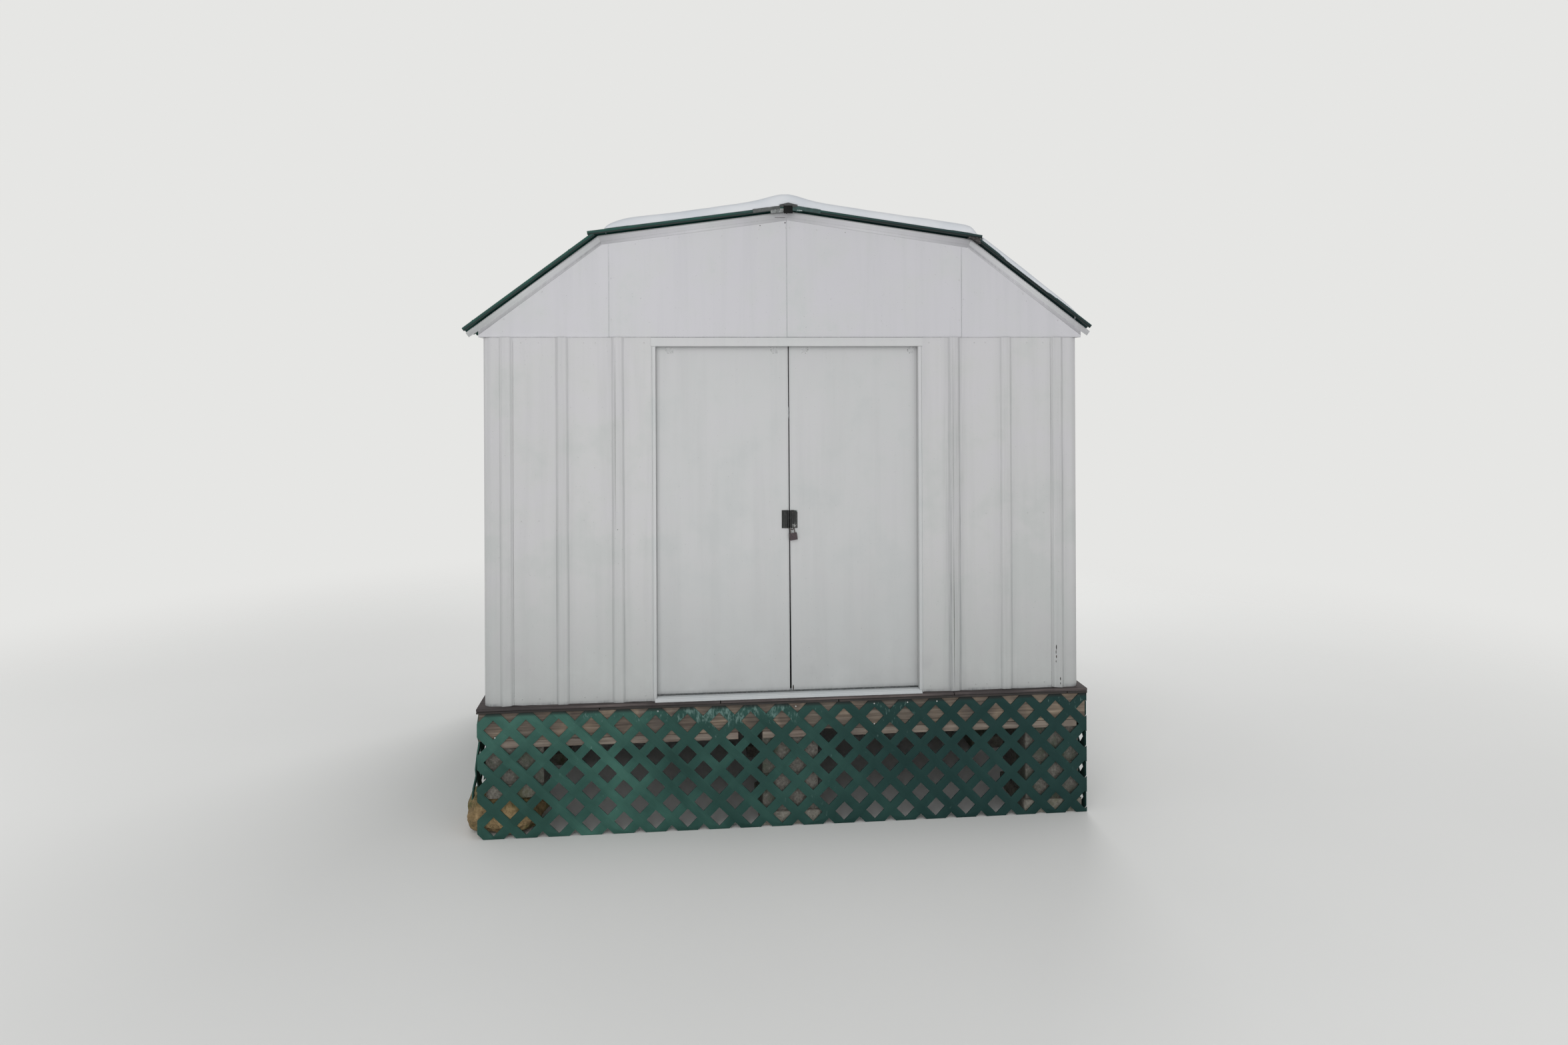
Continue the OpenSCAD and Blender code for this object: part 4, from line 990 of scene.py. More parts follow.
def roof():
    upper_normal, lower_normal = slope_normals()
    upper_way, lower_way = slope_ways()
    upper_len, lower_len = (KNEE - Vector((0, RIDGE))).length, (EAVE - KNEE).length
    upper = roof_sheet("upper_right", Vector((0, RIDGE)), upper_way, upper_normal, 0.004, upper_len + 0.050,
                       0)
    lower = roof_sheet("lower_right", KNEE, lower_way, lower_normal, 0.012, lower_len - 0.018, 0.0017)
    # A pale painted highlight lies along the hem of each lip: strong on the upper sheets, faint on the lower
    # ones.
    hem = ROOF_RIB - ROOF_LIP + 0.0035
    pairs = []
    for right, name, corner, normal, bare in (
            (upper, "upper_left", Vector((0, 0, RIDGE)), upper_normal, 0.55),
            (lower, "lower_left", Vector((KNEE.x, 0, KNEE.y)), lower_normal, 0.30)):
        soil(right, lip_rule(corner, normal, bare, hem, hem))
        left = placed(right, name, FLIP_X)
        for sheet in (right, left):
            # Painted shade: near black on the lower part of each lip.
            soil(sheet, lip_rule(corner, normal, 0.85, 0.0155, 0.0125), "damp")
        pairs.append([right, left])
    fitted(joined("upper_roof", pairs[0]), GREEN, "green_steel", "upper_roof_sheets")
    # The left sheet hangs further over the eave than the right one.
    stretched(pairs[1][1], 0.032)
    fitted(joined("lower_roof", pairs[1]), GREEN, "green_steel", "lower_roof_sheets")


CAP_HALF, FLAP_Y = 0.047, ROOF_HALF + 0.0032
CAP_PEAK = RIDGE + (ROOF_RIB + 0.0019) / slope_normals()[0].z


def ridge_flap(way):
    """Black flap at one end of the cap: a band bent up before the snow, and a tongue folded down from it."""
    upper_normal = slope_normals()[0]
    band = upright_plate("flap_band", -CAP_HALF, CAP_HALF, way * (FLAP_Y + 0.0008), CAP_PEAK - 0.012,
                         CAP_PEAK + 0.011)
    open_up(band)
    for side in (-1, 1):
        cut((0, 0, CAP_PEAK + 0.0105), (side * upper_normal.x * 1.6, 0, upper_normal.z), keep_below=True)
        cut((side * (CAP_HALF - 0.005), 0, CAP_PEAK - 0.010), (side * 0.55, 0, -0.83), keep_below=True)
    slice_up(10, -CAP_HALF, CAP_HALF)
    face_out(band, Vector((0, way, 0)))
    worked(band, "SOLIDIFY", thickness=0.0014, offset=1)
    foot, face = RIDGE - 0.0165, way * (FLAP_Y + 0.001)
    tongue = block("flap_tongue", (-0.0255, face - 0.0016, foot), (0.0215, face + 0.0016, CAP_PEAK - 0.004))
    open_up(tongue)
    cut((-0.0215, 0, foot), (-0.75, 0, -0.66), keep_below=True)
    close_up()
    for vert in band.data.vertices:
        vert.co.z += 0.0012 * noise.noise(Vector((vert.co.x * 55, way * 3, 2)))
    fitted(shaded(eased(tongue, 0.0012, 2)), TONGUE, "green_steel")
    return shaded(band)


def old_flashing():
    """Strips of older flashing over the front lips beside the cap, grey on the left and teal on the right,
    and a pale strip painted as a glint.
    """
    normal, side = slope_normals()[0], slope_ways()[0]
    for name, material, flip, start, end, low, high in (
            ("grey_flashing", GREY_TAPE, -1, 0.040, 0.182, 0.0095, 0.0290),
            ("pale_flashing_end", PALE_TAPE, -1, 0.024, 0.092, -0.0060, 0.0130),
            ("teal_flashing", TEAL_TAPE, 1, 0.020, 0.166, 0.0085, 0.0290),
            ("teal_flashing_end", TEAL_TAPE, 1, 0.020, 0.062, 0.0010, 0.0130),
            # A pale strip painted as a highlight: the glint on the hem.
            ("bare_hem_glint", NAILS_AND_GLINT, 1, 0.045, 0.071, 0.0060, 0.0095)):
        strip = block(name, (start, -0.0012, low), (end, 0.0004, high))
        open_up(strip)
        cut((end - 0.010, 0, 0), (0.6, 0, 0.8 * (high - low) / 0.0155))
        slice_up(13, start, end)
        clear_hands()
        eased(strip, 0.0004, 1)
        for vert in strip.data.vertices:
            wave = noise.noise(Vector((vert.co.x * 60, low * 90, flip)))
            vert.co = (Vector((0, -ROOF_HALF - 0.0007 + vert.co.y - 0.0006 * abs(wave), RIDGE))
                       + Vector((side.x * flip, 0, side.z)) * vert.co.x
                       + Vector((normal.x * flip, 0, normal.z)) * (vert.co.z + 0.0018 * wave))
        if flip < 0:
            strip.data.flip_normals()
        fitted(shaded(strip), material, "green_steel")


def ridge_strip():
    """Bent cap over the ridge with a black flap folded down over each end, and old flashing beside it."""
    upper_normal = slope_normals()[0]
    shoulder, crown = CAP_PEAK - CAP_HALF * upper_normal.x / upper_normal.z, CAP_PEAK - 0.0012
    path = [(-CAP_HALF, shoulder - 0.006), (-CAP_HALF, shoulder), (-0.010, crown), (0.010, crown),
            (CAP_HALF, shoulder), (CAP_HALF, shoulder - 0.006)]
    points = [Vector((x, -FLAP_Y, z)) for x, z in path]
    cap = folded("ridge_strip", points, Vector((0, 2 * FLAP_Y, 0)), (0, 0, 1), fold=0.002, thick=0.0012)
    flaps = [ridge_flap(way) for way in (-1, 1)]
    old_flashing()
    fitted(joined("ridge_cap_strip", [cap] + flaps), CAP, "green_steel", "ridge_cap")


def packed_dirt():
    """Dirt and old filler packed into the front wedge where the upper roof sheet overhangs the lower one."""
    lumps = []
    for i in range(11):
        x = 0.955 + 0.052 * i / 10
        foot = roof_at(max(x, KNEE.x + 1e-6)) + 0.0015
        head = max(RIDGE - (RIDGE - KNEE.y) / KNEE.x * x + 0.0075, foot + 0.007)
        lump = block("lump", (x - 0.0045, -ROOF_HALF - 0.0022, foot), (x + 0.0045, -ROOF_HALF + 0.022, head))
        lumps.append(gridded(lump, 5))
    clump = joined("packed_dirt", lumps)
    for vert in clump.data.vertices:
        shift = Vector([noise.noise(vert.co * 95 + Vector((0, 0, 7 * k))) for k in range(3)])
        vert.co += shift * 0.0032
    fitted(shaded(clump, 60), PACKED_DIRT, "dark_board")


# Doors and their trims

def door_skin():
    """Right-hand door: a flat skin with rolled edges, folded back and inwards all round."""
    skin = block("right_door_skin", DOOR_LOW, DOOR_HIGH)
    open_up(skin)
    pick(skin, "FACE", lambda spot, way: way.y > 0.9)
    bpy.ops.mesh.inset(thickness=0.015)
    bpy.ops.mesh.delete(type="FACE")
    pick(skin, "EDGE", lambda spot, way: spot.y < DOOR_LOW.y + 1e-4)
    bpy.ops.mesh.bevel(offset=0.0022, segments=3, affect="EDGES")
    pick(skin, "EDGE", lambda spot, way: abs(way.y) > 0.9)
    bpy.ops.mesh.bevel(offset=0.0015, segments=2, affect="EDGES")
    for z in (0.02, 0.10, 0.28, 0.55, 0.85, 1.15, 1.45):
        cut((0, 0, DOOR_LOW.z + z), (0, 0, 1))
    for x in (DOOR_LOW.x + 0.012, DOOR_HIGH.x - 0.030, DOOR_HIGH.x - 0.016):
        cut((x, 0, 0), (1, 0, 0))
    worked(skin, "SOLIDIFY", thickness=0.0012, offset=-1)
    # The free edge draws out up to nearly half height and stays out, so the doors' gap is widest at its foot.
    bow, reach = 0.0021, 0.10
    for vert in skin.data.vertices:
        up = (vert.co.z - DOOR_LOW.z) / (DOOR_HIGH.z - DOOR_LOW.z)
        edge = max(0.0, 1 - (vert.co.x - DOOR_LOW.x) / reach)
        vert.co.x -= bow * edge * min(1.0, up * 2.2)

    def dirt(co):
        if co.y > DOOR_LOW.y + 0.004:
            return 0.0
        # Darker along the foot, and painted shade along both upright edges, by the other door and by the
        # jamb.
        if co.z < DOOR_LOW.z + 0.004:
            return 0.35
        return 0.22 if co.x < DOOR_LOW.x + 0.001 or co.x > DOOR_HIGH.x - 0.018 else 0.0
    return shaded(soil(skin, dirt))


HANGER_WIDE, HANGER_PULL = 0.050, 0.010


def hanger_mark(x, turn):
    """The shallow soiled dent that a hanger pulls in a door skin under the header, and its rust specks."""
    z, wide, tall = DOOR_HEAD - 0.019, 0.0205, 0.018
    mark = upright_plate("hanger_mark", x - wide, x + wide, DOOR_LOW.y - 0.0001, z - tall, z + tall)
    open_up(mark)
    cut((x - turn * wide, 0, z - 0.004), (-turn * 0.72, 0, -0.69), keep_below=True)
    pick(mark, "FACE", lambda spot, way: True)
    inset(0.003, (0, -0.0004, 0))
    inset(0.006, (0, 0.0003, 0))
    gridded(mark, 5)
    worked(mark, "SOLIDIFY", thickness=0.0005, offset=-1)
    soil(mark, lambda co: 0.22 + 0.75 * noise.noise(Vector((co.x * 130, turn, co.z * 130))))
    spots = ((-0.0172, 0.0128, 0.0016), (-0.0160, 0.0022, 0.0024), (-0.0128, -0.0050, 0.0013),
             (-0.0060, -0.0152, 0.0018), (0.0085, -0.0102, 0.0011), (0.0150, 0.0138, 0.0010))
    specks = [screw_head("speck", (x + turn * u, DOOR_LOW.y - 0.0002, z + v), TOWARDS_FRONT, r, 0.0005)
              for u, v, r in spots]
    return mark, specks


def screw_head(name, place, outward, radius, height=0.0030, washer=0.0):
    """Hexagon screw head with eased corners, on a round washer if it has one."""
    place, outward = Vector(place), Vector(outward).normalized()
    head = rod(name, place, place + outward * height, radius, 6)
    open_up(head)
    pick(head, "FACE", lambda spot, way: way.dot(outward) > 0.9)
    inset(radius * 0.18, outward * height * 0.18)
    clear_hands()
    if washer:
        ring = rod(name + "_washer", place, place + outward * 0.0009, washer, 12)
        head = joined(name, [ring, head])
    return head


def screws(name, places, outward, material, slot, radius=0.0042, washer=0.0075, body=ROOT):
    """One screw head, copied to every place with its own mesh."""
    first = screw_head(name, places[0], outward, radius, washer=washer)
    rest = [placed(first, f"{name}_{i}", Matrix.Translation(Vector(p) - Vector(places[0])))
            for i, p in enumerate(places[1:])]
    return fitted(joined(name, [first] + rest), material, slot, body=body)


def doors():
    right = door_skin()
    left = placed(right, "left_door_skin", Matrix.Translation((2 * MEET, 0, 0)) @ FLIP_X)
    # Both doors hang a little out of true: their free edges lean to the left.
    lean, reach = 0.006, 0.12
    for vert in (*right.data.vertices, *left.data.vertices):
        up = (vert.co.z - DOOR_LOW.z) / (DOOR_HIGH.z - DOOR_LOW.z)
        vert.co.x -= lean * up * max(0.0, 1 - abs(vert.co.x - MEET) / reach)
    fitted(right, DOOR, "door_steel", "right_door", body=RIGHT_DOOR)
    fitted(left, DOOR, "door_steel", "left_door", body=LEFT_DOOR)
    for name, body, turns in (("left", LEFT_DOOR, (1, 1)), ("right", RIGHT_DOOR, (-1, 1))):
        low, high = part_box(f"{name}_door_hangers")
        middles = (low.x + HANGER_WIDE / 2, high.x - HANGER_WIDE / 2)
        pairs = [hanger_mark(x + HANGER_PULL * (-1 if name == "left" and x > middles[0] else 1), turn)
                 for x, turn in zip(middles, turns)]
        marks = shaded(joined(f"{name}_hanger_marks", [mark for mark, specks in pairs]), 20)
        fitted(marks, DOOR, "door_steel", body=body)
        specks = joined(f"{name}_hanger_specks", [speck for mark, specks in pairs for speck in specks])
        fitted(specks, SPECKS_AND_GAP_SHADE, "door_steel", body=body)
    # A black scuff at the foot of the right door, and chips in the enamel of the right-hand corner panel.
    scuff = chip("door_scuff", 0.0212, DOOR_LOW.y, FLOOR + 0.036, 0.0034, 0.0135)
    fitted(scuff, DARK_HOLE, "door_steel", body=RIGHT_DOOR)
    crest = HALF_W - CORNER_RIB
    chips = [chip("chip", crest - 0.0115 - 0.002 * (i % 2), FRONT - RIB_HIGH, FLOOR + 0.214 - 0.025 * i,
                  0.0026 - 0.0007 * (i % 2), 0.0130 - 0.0024 * i) for i in range(4)]
    chips += [chip("chip", crest + 0.010, FRONT - RIB_HIGH, FLOOR + 0.022 + 0.024 * i, 0.0018 + 0.0008 * i,
                   0.0060 + 0.0025 * i) for i in range(2)]
    fitted(joined("corner_chips", chips), DARK_HOLE, "white_steel")


def chip(name, x, y, z, wide, tall):
    """A chip or scuff in a painted face: a thin plate with all its corners cut off unevenly."""
    plate = upright_plate(name, x - wide, x + wide, y - 0.0002, z - tall, z + tall)
    open_up(plate)
    for i, (sx, sz) in enumerate(((-1, -1), (-1, 1), (1, -1), (1, 1))):
        way = Vector((sx * tall, 0, sz * wide)).normalized()
        spot = Vector((x + sx * wide * (0.35 + 0.12 * i), y, z + sz * tall * 0.8))
        cut(spot, way, keep_below=True)
    return worked(plate, "SOLIDIFY", thickness=0.0004, offset=1)


def opening_trims():
    """Jamb strips with a groove and a bead along the opening, and the header strip over their heads."""
    edge = DOOR_HALF + 0.0015
    plan = [(0.0235, -0.0001), (0.0228, -0.0012), (0.0198, -0.0012), (0.0190, -0.0001), (0.0172, -0.0001),
            (0.0166, -0.0022), (0.0145, -0.0029), (0.0016, -0.0029), (0.0003, -0.0020), (0, -0.0005),
            (0, 0.030)]
    points = [Vector((edge + x, FRONT + y, FLOOR)) for x, y in plan]
    up = Vector((0, 0, DOOR_HEAD - 0.0002 - FLOOR))
    right = folded("jamb_right", points, up, TOWARDS_FRONT, fold=0.0, cuts=HEIGHTS[:-2], thick=0.0009)
    # Painted shade in the groove of each jamb, and darker at the foot.
    soil(right, lambda co: 0.30 if edge + 0.0168 < co.x < edge + 0.0192 else
         (0.4 if co.z < FLOOR + 0.004 else 0.0))
    left = placed(right, "jamb_left", FLIP_X)
    fitted(joined("jamb_strips", [right, left]), HEAD, "white_trim", "door_jambs")
    low, reach = DOOR_HEAD, edge + 0.0235
    section = [(-0.0004, WALL_TOP - 0.0005), (-0.0014, WALL_TOP - 0.0012), (-0.0026, WALL_TOP - 0.0045),
               (-0.0029, low + 0.0100), (-0.0029, low + 0.0024), (-0.0012, low + 0.0003),
               (0.030, low + 0.0003)]
    points = [Vector((-reach, FRONT + y, z)) for y, z in section]
    slots = [((-reach + 2 * reach * i / 24, 0, 0), (1, 0, 0)) for i in range(1, 24)]
    header = folded("header_strip", points, Vector((2 * reach, 0, 0)), TOWARDS_FRONT, fold=0.0005, rounds=1,
                    thick=0.0009, cuts=slots)
    # Painted shadow along the top of the header, under the gable's flared hem.
    soil(header, lambda co: 0.80 + 0.4 * noise.noise(co * 7) if co.z > WALL_TOP - 0.0011 else 0.0)
    fitted(header, HEAD, "white_trim", "door_header")


def threshold_plate():
    """Sloping sill plate with two raised guide beads and a rolled front edge."""
    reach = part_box("threshold")[1].x - 0.010
    section = [(-0.0280, 0.0003), (-0.0280, 0.0028), (-0.0262, 0.0042), (-0.0150, 0.0100), (-0.0135, 0.0126),
               (-0.0115, 0.0128), (-0.0098, 0.0118), (-0.0035, 0.0150), (-0.0022, 0.0168), (0.0060, 0.0168),
               (0.0072, 0.0164), (0.0090, 0.0164), (0.0102, 0.0168), (0.0296, 0.0168), (0.0296, 0.0006)]
    # At both ends, under the jambs, the plate has only its slope.
    slope = [p for p in section if p[0] < -0.0022] + [(-0.0031, 0.0004)]
    end = reach - DOOR_HALF - 0.0002
    lengths = []
    for name, start, length, profile in (("threshold_middle", -DOOR_HALF, 2 * DOOR_HALF, section),
                                         ("threshold_end", -reach, end, slope),
                                         ("threshold_end", DOOR_HALF + 0.0002, end, slope)):
        points = [Vector((start, FRONT + y, FLOOR + z)) for y, z in profile]
        lengths.append(folded(name, points, Vector((length, 0, 0)), (0, -1, 1), fold=0.0005, rounds=1,
                              thick=0.0010))
    plate = joined("threshold_plate", lengths)
    soil(plate, lambda co: 0.30 if co.y < FRONT - 0.0265 else 0.0)
    fitted(plate, STEP, "white_trim", "threshold")


# Handles and padlock

HANDLE_HALF, HANDLE_THICK, HANDLE_LIP = 0.047, 0.003, 0.020
HANDLE_FOOT, HANDLE_HEAD = FLOOR + 0.913 - HANDLE_HALF, FLOOR + 0.913 + HANDLE_HALF
PLATE_BACK, PLATE_Y = DOOR_LOW.y - 0.0002, DOOR_LOW.y - HANDLE_THICK
# The hole in the right lip, which the shackle passes through.
LOCK_Y, LOCK_HOLE_Z = PLATE_Y - HANDLE_LIP + 0.008, HANDLE_FOOT + 0.016


def dished_plate(plate, depth, width):
    """The open plate of a handle with its face sunk inside a narrow rim, and its edges rounded."""
    pick(plate, "FACE", lambda spot, way: way.y < -0.9)
    inset(0.0022, (0, depth, 0))
    clear_hands()
    return eased(plate, width, 1)


def grips(rows, out, wide, width):
    """Upright ribs on a handle's plate; each row is a place and the lengths left bare at foot and head."""
    ribs = [block("grip", (MEET + x, PLATE_Y - out, HANDLE_FOOT + low),
                  (MEET + x + wide, PLATE_Y + 0.002, HANDLE_HEAD - high)) for x, low, high in rows]
    return [eased(rib, width, 2) for rib in ribs]


def handle_lip(name, near, far):
    """The upright lip of a handle, between two places beside the doors' meeting line."""
    return block(name, (MEET + near, PLATE_Y - HANDLE_LIP + 0.0002, HANDLE_FOOT),
                 (MEET + far, PLATE_Y + 0.002, HANDLE_HEAD))


def guard(name, near, far, width, segments):
    """The part of a handle that turns back round its door's edge."""
    piece = block(name, (MEET + near, DOOR_LOW.y - 0.0016, HANDLE_FOOT + 0.001),
                  (MEET + far, DOOR_LOW.y + 0.006, HANDLE_HEAD - 0.001))
    return eased(piece, width, segments)


def left_handle():
    """Whole moulded pull handle: plate with four ribs, lip and guard."""
    plate = block("left_plate", (MEET - 0.0440, PLATE_Y, HANDLE_FOOT),
                  (MEET - 0.0115, PLATE_BACK, HANDLE_HEAD))
    open_up(plate)
    rows = [(x, 0.003, 0.003) for x in (-0.0415, -0.0340, -0.0265, -0.0190)]
    parts = [dished_plate(plate, 0.0010, 0.0006)] + grips(rows, 0.0045, 0.0036, 0.0011)
    parts.append(eased(handle_lip("left_lip", -0.0135, -0.0115), 0.0005, 1))
    parts.append(guard("left_guard", -0.0125, -0.0054, 0.0008, 2))
    piece = shaded(joined("left_pull_handle", parts))
    fitted(piece, BLACK, "black_plastic", "left_handle", body=LEFT_DOOR)


def right_handle():
    """Pull handle that has lost a corner and two ribs, with a hole in its lip for the lock."""
    plate = block("right_plate", (MEET + 0.0055, PLATE_Y, HANDLE_FOOT),
                  (MEET + 0.0380, PLATE_BACK, HANDLE_HEAD))
    open_up(plate)
    hub = Vector((MEET + 0.0230, 0, HANDLE_HEAD - 0.0170))
    for degrees in (20, 40, 60, 76):
        cut(hub + towards(degrees) * 0.0150, towards(degrees), keep_below=True, fill=True)
    parts = [dished_plate(plate, 0.0009, 0.0005)]
    parts += grips(((0.0175, 0.004, 0.006), (0.0255, 0.034, 0.012)), 0.0034, 0.0034, 0.0009)
    parts.append(guard("right_guard", -0.0013, 0.0062, 0.0005, 1))
    lip = handle_lip("right_lip", 0.0055, 0.0071)
    hole = rod("lip_hole", (MEET, LOCK_Y, LOCK_HOLE_Z), (MEET + 0.012, LOCK_Y, LOCK_HOLE_Z), 0.005)
    worked(lip, "BOOLEAN", object=hole, operation="DIFFERENCE")
    bpy.data.objects.remove(hole)
    piece = shaded(joined("right_pull_handle", parts + [lip]))
    fitted(piece, BLACK_WORN, "black_plastic", "right_handle", body=RIGHT_DOOR)
    # The broken corner has left its bleached back on the door.
    rest = block("corner_rest", (MEET + 0.0230, DOOR_LOW.y - 0.0011, HANDLE_HEAD - 0.0185),
                 (MEET + 0.0378, PLATE_BACK, HANDLE_HEAD - 0.0005))
    open_up(rest)
    cut((MEET + 0.0372, 0, HANDLE_HEAD - 0.0020), (0.70, 0, 0.71), keep_below=True)
    close_up()
    fitted(eased(rest, 0.0004, 1), FADED, "black_plastic", body=RIGHT_DOOR)


def handles():
    left_handle()
    right_handle()
    for name, body, spots in (
            ("left", LEFT_DOOR, ((-0.0300, HANDLE_FOOT + 0.013), (-0.0300, HANDLE_HEAD - 0.015))),
            ("right", RIGHT_DOOR, ((0.0310, HANDLE_FOOT + 0.009), (0.0130, HANDLE_HEAD - 0.012)))):
        places = [(MEET + x, PLATE_Y + 0.0006, z) for x, z in spots]
        heads = screws(f"{name}_handle_screws", places, TOWARDS_FRONT, SHACKLE, "black_plastic", 0.0026, 0.0,
                       body)
        shaded(heads, 20)


# The padlock's sizes, and its heights in its own frame, before it is turned and hung in the lip.
LOCK_WIDE, LOCK_DEEP, LOCK_HIGH, SHACKLE_LEG, BOW = 0.040, 0.016, 0.036, 0.028, -0.0105
LOCK_TOP = BOW - SHACKLE_LEG
LOCK_FOOT = LOCK_TOP - LOCK_HIGH
LOCK_TURN = (Matrix.Translation((MEET + 0.00625, LOCK_Y, LOCK_HOLE_Z - 0.002))
             @ Matrix.Rotation(math.radians(-9), 4, "Y"))


def padlock_case():
    """Laminated case: stacked plates held by four rivets, with a key plug below."""
    half_x, half_y = LOCK_WIDE / 2, LOCK_DEEP / 2
    plates = []
    for i in range(11):
        z = LOCK_FOOT + 0.0003 + i * 0.00325
        short = 0.0006 if i in (0, 10) else 0.0
        plate = block("lamina", (short - half_x, short - half_y, z),
                      (half_x - short, half_y - short, z + 0.0031))
        open_up(plate)
        pick(plate, "EDGE", lambda spot, way: abs(way.z) > 0.9)
        bpy.ops.mesh.bevel(offset=0.0032, segments=4, affect="EDGES")
        plates.append(eased(plate, 0.0004, 1, 50))
    plates.append(block("core", (0.0022 - half_x, 0.0012 - half_y, LOCK_FOOT + 0.001),
                        (half_x - 0.0022, half_y - 0.0012, LOCK_TOP - 0.001)))
    for x in (-0.0155, 0.0155):
        for y in (-0.0046, 0.0046):
            rivet = rod("rivet", (x, y, LOCK_FOOT - 0.0006), (x, y, LOCK_FOOT + 0.002), 0.0018, 12)
            plates.append(eased(rivet, 0.0004, 1))
    plug = rod("key_plug", (0.004, 0, LOCK_FOOT - 0.0005), (0.004, 0, LOCK_FOOT + 0.003), 0.0052, 20)
    open_up(plug)
    pick(plug, "FACE", lambda spot, way: way.z < -0.9)
    inset(0.0012, (0, 0, 0.0006))
    clear_hands()
    case = joined("padlock_case", plates + [plug])
    case.data.transform(LOCK_TURN)
    fitted(shaded(case), LOCK, "lock_enamel", "padlock", body=RIGHT_DOOR)


def padlock_shackle():
    """Bent shackle: a circle drawn up one leg, spun over the bow and drawn down the other leg."""
    clear_hands()
    bpy.ops.mesh.primitive_circle_add(vertices=16, radius=0.0025, location=(-BOW, 0, LOCK_TOP - 0.004),
                                      fill_type="NGON")
    shackle = bpy.context.object
    bpy.ops.object.transform_apply()
    open_up(shackle)
    bpy.ops.mesh.select_all(action="SELECT")
    bpy.ops.mesh.extrude_region_move(TRANSFORM_OT_translate={"value": (0, 0, SHACKLE_LEG + 0.004)})
    bpy.ops.mesh.spin(steps=16, angle=math.pi, center=(0, 0, BOW), axis=(0, -1, 0))
    bpy.ops.mesh.extrude_region_move(TRANSFORM_OT_translate={"value": (0, 0, -SHACKLE_LEG - 0.004)})
    bpy.ops.mesh.select_all(action="SELECT")
    bpy.ops.mesh.remove_doubles(threshold=1e-5)
    bpy.ops.mesh.normals_make_consistent(inside=False)
    clear_hands()
    shackle.name = "padlock_shackle"
    shackle.data.transform(LOCK_TURN)
    fitted(shaded(shackle, 60), SHACKLE, "lock_enamel", body=RIGHT_DOOR)


# Platform

def from_node(name, node):
    """A merged copy of a CAD node's loose triangles, with its flat faces made whole."""
    piece = placed(NODES[node], name, Matrix.Identity(4))
    piece.parent = None
    for key in list(piece.keys()):
        del piece[key]
    open_up(piece)
    bpy.ops.mesh.select_all(action="SELECT")
    bpy.ops.mesh.remove_doubles(threshold=1e-5)
    bpy.ops.mesh.dissolve_limited(angle_limit=0.02)
    clear_hands()
    return piece


SLAT_PITCH = 0.114


def lattice_sheet(node, segments):
    """A lattice sheet with softened edges, and its slats laid out in a map for its paint."""
    piece = eased(from_node(node + "_sheet", node), 0.0016, segments)
    low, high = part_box(node)
    layer = piece.data.uv_layers.new(name="slats")
    top, root = FLOOR - 0.028, SLAT_PITCH * math.sqrt(2)
    for loop in piece.data.loops:
        co = piece.data.vertices[loop.vertex_index].co
        if node in ("left_lattice", "right_lattice"):
            along = co.y - low.y + 0.010
        else:
            along = (high.x - co.x if node == "rear_lattice" else co.x - low.x) + 0.010
        up = co.z - top
        layer.data[loop.index].uv = ((along + up) / root, (along - up) / root)
    if node == "left_lattice":
        # The left sheet has bowed out over the stone at its front end.
        bow = 0.030
        for vert in piece.data.vertices:
            down = max(0.0, min(1.0, (0.50 - vert.co.z) / 0.35))
            fore = max(0.0, min(1.0, (-0.55 - vert.co.y) / 0.60))
            vert.co.x -= bow * down * down * (3 - 2 * down) * fore * (1.0 if vert.co.z > 0.19 else 0.9)
    fitted(shaded(piece), LATTICE, "green_lattice", node)


def lattices():
    lattice_sheet("front_lattice", 2)
    for node in ("rear_lattice", "left_lattice", "right_lattice"):
        lattice_sheet(node, 1)
    # Only a few nails show, a little beside the crossings of the slats, in the first two rows.
    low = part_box("front_lattice")[0]
    half_pitch, first_row = SLAT_PITCH / math.sqrt(2), FLOOR - 0.042
    places = []
    for column, row in ((1, 1), (11, 0), (20, 0), (25, 0), (25, 1), (27, 0), (29, 0)):
        aside = 0.012 * math.sin(2.4 * column)
        height = first_row - 1.3 * half_pitch * row
        places.append((low.x + half_pitch * column + aside, low.y - 0.0002, height))
    nails = screws("lattice_nails", places, TOWARDS_FRONT, NAILS_AND_GLINT, "galvanised", 0.0036, 0.0)
    shaded(nails, 20)


def board(name, low, high, warp, bevel):
    """A sawn board: eased edges, cut across in slices and slightly out of true."""
    piece = block(name, low, high)
    axis = max(range(3), key=lambda i: (high - low)[i])
    open_up(piece)
    slice_up(16, low[axis], high[axis], axis)
    clear_hands()
    eased(piece, bevel, 2)
    middle = (low + high) / 2
    for vert in piece.data.vertices:
        sway = Vector((noise.noise(vert.co * 2.1), noise.noise(vert.co * 2.3 + Vector((9, 0, 0))),
                       noise.noise(vert.co * 2.7 + Vector((0, 9, 0)))))
        sway[axis] = 0
        inward = Vector([-math.copysign(1, vert.co[k] - middle[k]) if k != axis else 0 for k in range(3)])
        vert.co += Vector([abs(sway[k]) * inward[k] for k in range(3)]) * warp
    return shaded(piece)


def solids_of(node):
    """Lowest and highest corners of each separate box in a CAD node."""
    probe = from_node("probe", node)
    open_up(probe)
    bpy.ops.mesh.select_all(action="SELECT")
    bpy.ops.mesh.separate(type="LOOSE")
    clear_hands()
    boxes = []
    for ob in [ob for ob in bpy.data.objects if ob.name.startswith("probe")]:
        places = [v.co for v in ob.data.vertices]
        boxes.append([Vector([end(co[k] for co in places) for k in range(3)]) for end in (min, max)])
        bpy.data.objects.remove(ob)
    return sorted(boxes, key=lambda box: tuple(round(v, 3) for v in box[0]))


